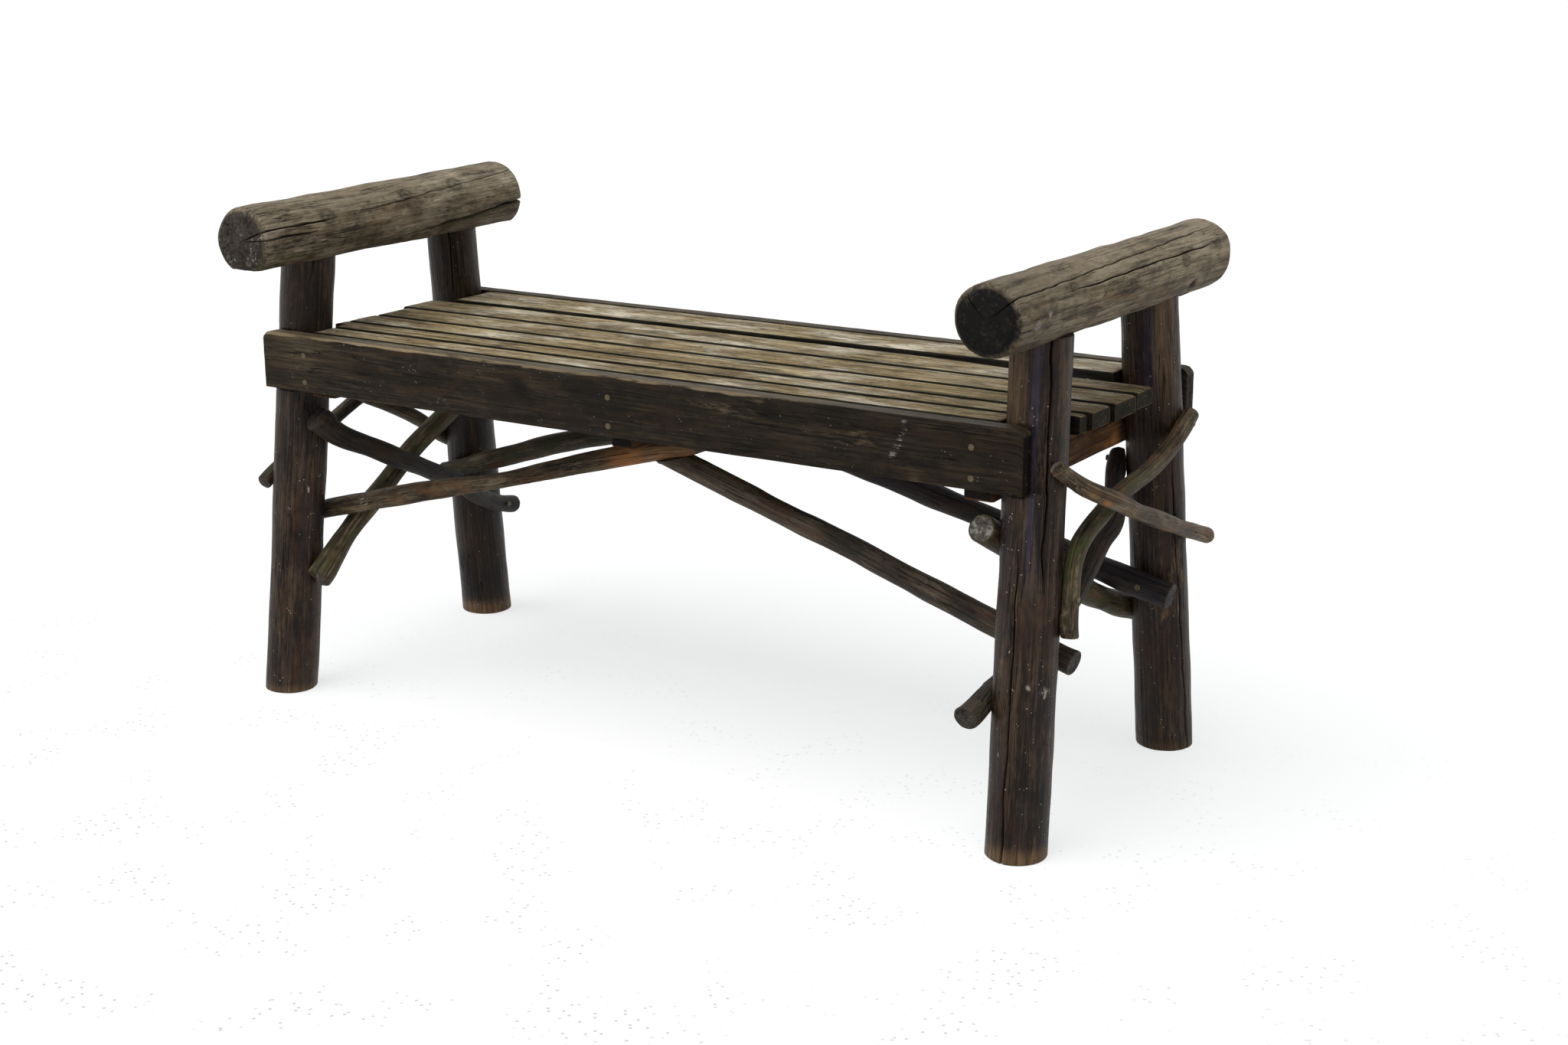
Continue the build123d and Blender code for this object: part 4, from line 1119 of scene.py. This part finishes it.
# How dark and how mossy each branch is, how pale its sawn ends, and its marks.
# Bluish marks on some branches are a painted highlight.
branch_tones = {
    "brace_front_left": (0.18, 0.1, 0.2, {
        "glow": spots((38.0, -112.0, 352.0, 18, 0.5), (8.0, -112.0, 346.0, 22, 0.9),
                      (-38.0, -112.0, 337.0, 30, 1.5)),
        "chalk": spots((-270.0, -130.0, 284.0, 9, 0.6), (-430.0, -130.0, 236.0, 12, 0.5))}),
    "brace_front_right": (0.3, 0.2, -0.2, {"painted_highlight": 0.3}),
    "brace_back_left": (0.5, 1.0, 0.0, {
        "chalk": spots((-330.0, 100.0, 290.0, 9, 0.5), (-200.0, 105.0, 325.0, 8, 0.5))}),
    "brace_back_right": (0.62, 0.3, -0.2, {"painted_highlight": 0.7}),
    "brace_left_inner_falling": (0.78, 0.1, -0.2, {"painted_highlight": 0.3}),
    "brace_left_inner_rising": (0.12, 0.9, 0.1, {}),
    "brace_left_outer_rising": (0.5, 0.3, 0.0, {}),
    "brace_left_outer_falling": (0.5, 0.3, 0.0, {}),
    "brace_right_inner_falling": (0.4, 1.0, 0.32, {}),
    "brace_right_inner_rising": (0.5, 0.3, -0.1, {"painted_highlight": 0.5}),
    "brace_right_outer_falling": (0.0, 0.0, 0.2, {
        "glow": spots((549.7, -42.6, 345.1, 7, 1.2), (549.7, -101.7, 363.5, 7, 1.2),
                      (549.7, -127.6, 372.5, 9, 0.9))}),
    "brace_right_outer_rising": (0.08, 0.5, -0.3, {"moss": moss_across_kink}),
}
for seed, (node, (shade, moss, sawn, marks)) in enumerate(branch_tones.items(), start=61):
    branch_piece(node, seed, {"shade": shade, "moss": moss, "sawn": sawn, **marks})

# ---- Nails ----
for name in ("brace_nails", "apron_nails", "rail_nails", "slat_brads"):
    nail_mesh = nodes[name].data
    nail_mesh.materials.clear()
    nail_mesh.materials.append(materials["nail_steel"])


# ---- Floor, light and background ----
def seen_directly(graph):
    """1 for the rays that show the background, and 0 for those that light the object."""
    shown = graph.node("ShaderNodeLightPath", {}, "Is Camera Ray")
    for kind in ("Is Glossy Ray", "Is Transmission Ray"):
        shown = graph.math("MAXIMUM", shown, graph.node("ShaderNodeLightPath", {}, kind))
    return shown


def studio_floor():
    """White where it is lit and a little grey in the object's shadow, with sparse fine dirt."""
    graph = Graph(bpy.data.materials.new("studio_floor"))
    place = graph.node("ShaderNodeTexCoord", {}, "Object")
    cells = graph.node("ShaderNodeTexVoronoi", {"Vector": place, "Scale": 60.0},
                       voronoi_dimensions="2D")
    where = graph.noise(place, 9, 9, 9, 3, 0.6)
    scuffs = graph.step(graph.noise(place, 60, 25, 1, 5, 0.7), 0.66, 0.74) * 0.3
    grit = graph.step(cells, 0.14, 0.06) * graph.step(where, 0.48, 0.62)
    # There is more dirt in front of the object than behind it.
    depth = graph.node("ShaderNodeSeparateXYZ", {"Vector": place}, "Y")
    dirt = graph.math("MAXIMUM", grit, scuffs) * (graph.step(depth, 0.5, -0.9) * 0.5 + 0.12)
    lit = graph.mix(dirt, (0.36, 0.345, 0.34, 1), (0.1, 0.1, 0.1, 1))
    base = graph.mix(dirt, (0.7, 0.715, 0.72, 1), (0.3, 0.3, 0.3, 1))
    bounce = graph.node("ShaderNodeBsdfDiffuse", {"Color": paint(228, 228, 226)})
    shaded = graph.node("ShaderNodeBsdfDiffuse", {"Color": lit})
    glow = graph.node("ShaderNodeEmission", {"Color": base, "Strength": 1.0})
    both = graph.node("ShaderNodeAddShader", {0: shaded, 1: glow})
    surface = graph.node("ShaderNodeMixShader", {0: seen_directly(graph), 1: bounce, 2: both})
    graph.put(graph.nodes["Material Output"].inputs["Surface"], surface)
    graph.nodes.remove(graph.nodes["Principled BSDF"])
    return graph.owner


FLOOR_SIZE = 60.0
bpy.ops.mesh.primitive_plane_add(size=FLOOR_SIZE)
floor = bpy.context.object
floor.name = "studio_floor"
floor.data.materials.append(studio_floor())


def soft_sun(name, azimuth, elevation, spread, strength, colour):
    """A wide soft light from far away: azimuth 0 comes from the front, 90 from the right."""
    data = bpy.data.lights.new(name, "SUN")
    data.angle = math.radians(spread)
    data.energy = strength
    data.color = colour
    lamp = bpy.data.objects.new(name, data)
    lamp.rotation_euler = (math.radians(90 - elevation), 0, math.radians(azimuth))
    bpy.context.scene.collection.objects.link(lamp)


soft_sun("key_light", -28, 62, 50, 1.9, (0.99, 1.0, 1.0))
soft_sun("fill_light", 60, 35, 60, 0.45, (0.96, 0.98, 1.0))

AMBIENT = 0.36  # how strongly the white background lights the object
world = bpy.data.worlds.new("studio")
bpy.context.scene.world = world
world_graph = Graph(world)
brightness = {"Value": seen_directly(world_graph), "To Min": AMBIENT, "To Max": 1.0}
background = world_graph.nodes["Background"]
background.inputs["Color"].default_value = (1.0, 1.0, 1.0, 1.0)
world_graph.put(background.inputs["Strength"], world_graph.node("ShaderNodeMapRange", brightness))
bpy.context.scene.view_settings.view_transform = "Standard"

# ---- Camera ----
CAMERA_PLACE = Vector((1.53011, -2.2609, 0.99104))
CAMERA_YAW, CAMERA_PITCH, CAMERA_ROLL = 0.566, 0.2677, -0.0053  # radians
SENSOR_WIDTH, LENS = 36.0, 55.175  # millimetres
IMAGE_WIDTH = 2048
SHIFT_PIXELS = (5.53, -0.69)

camera_data = bpy.data.cameras.new("camera")
camera_data.sensor_width = SENSOR_WIDTH
camera_data.lens = LENS
camera_data.shift_x = SHIFT_PIXELS[0] / IMAGE_WIDTH
camera_data.shift_y = SHIFT_PIXELS[1] / IMAGE_WIDTH
camera_data.dof.use_dof = False
camera = bpy.data.objects.new("camera", camera_data)
camera.matrix_world = (Matrix.Translation(CAMERA_PLACE) @ Matrix.Rotation(CAMERA_YAW, 4, "Z")
                       @ Matrix.Rotation(math.pi / 2 - CAMERA_PITCH, 4, "X")
                       @ Matrix.Rotation(CAMERA_ROLL, 4, "Z"))
bpy.context.scene.collection.objects.link(camera)
bpy.context.scene.camera = camera
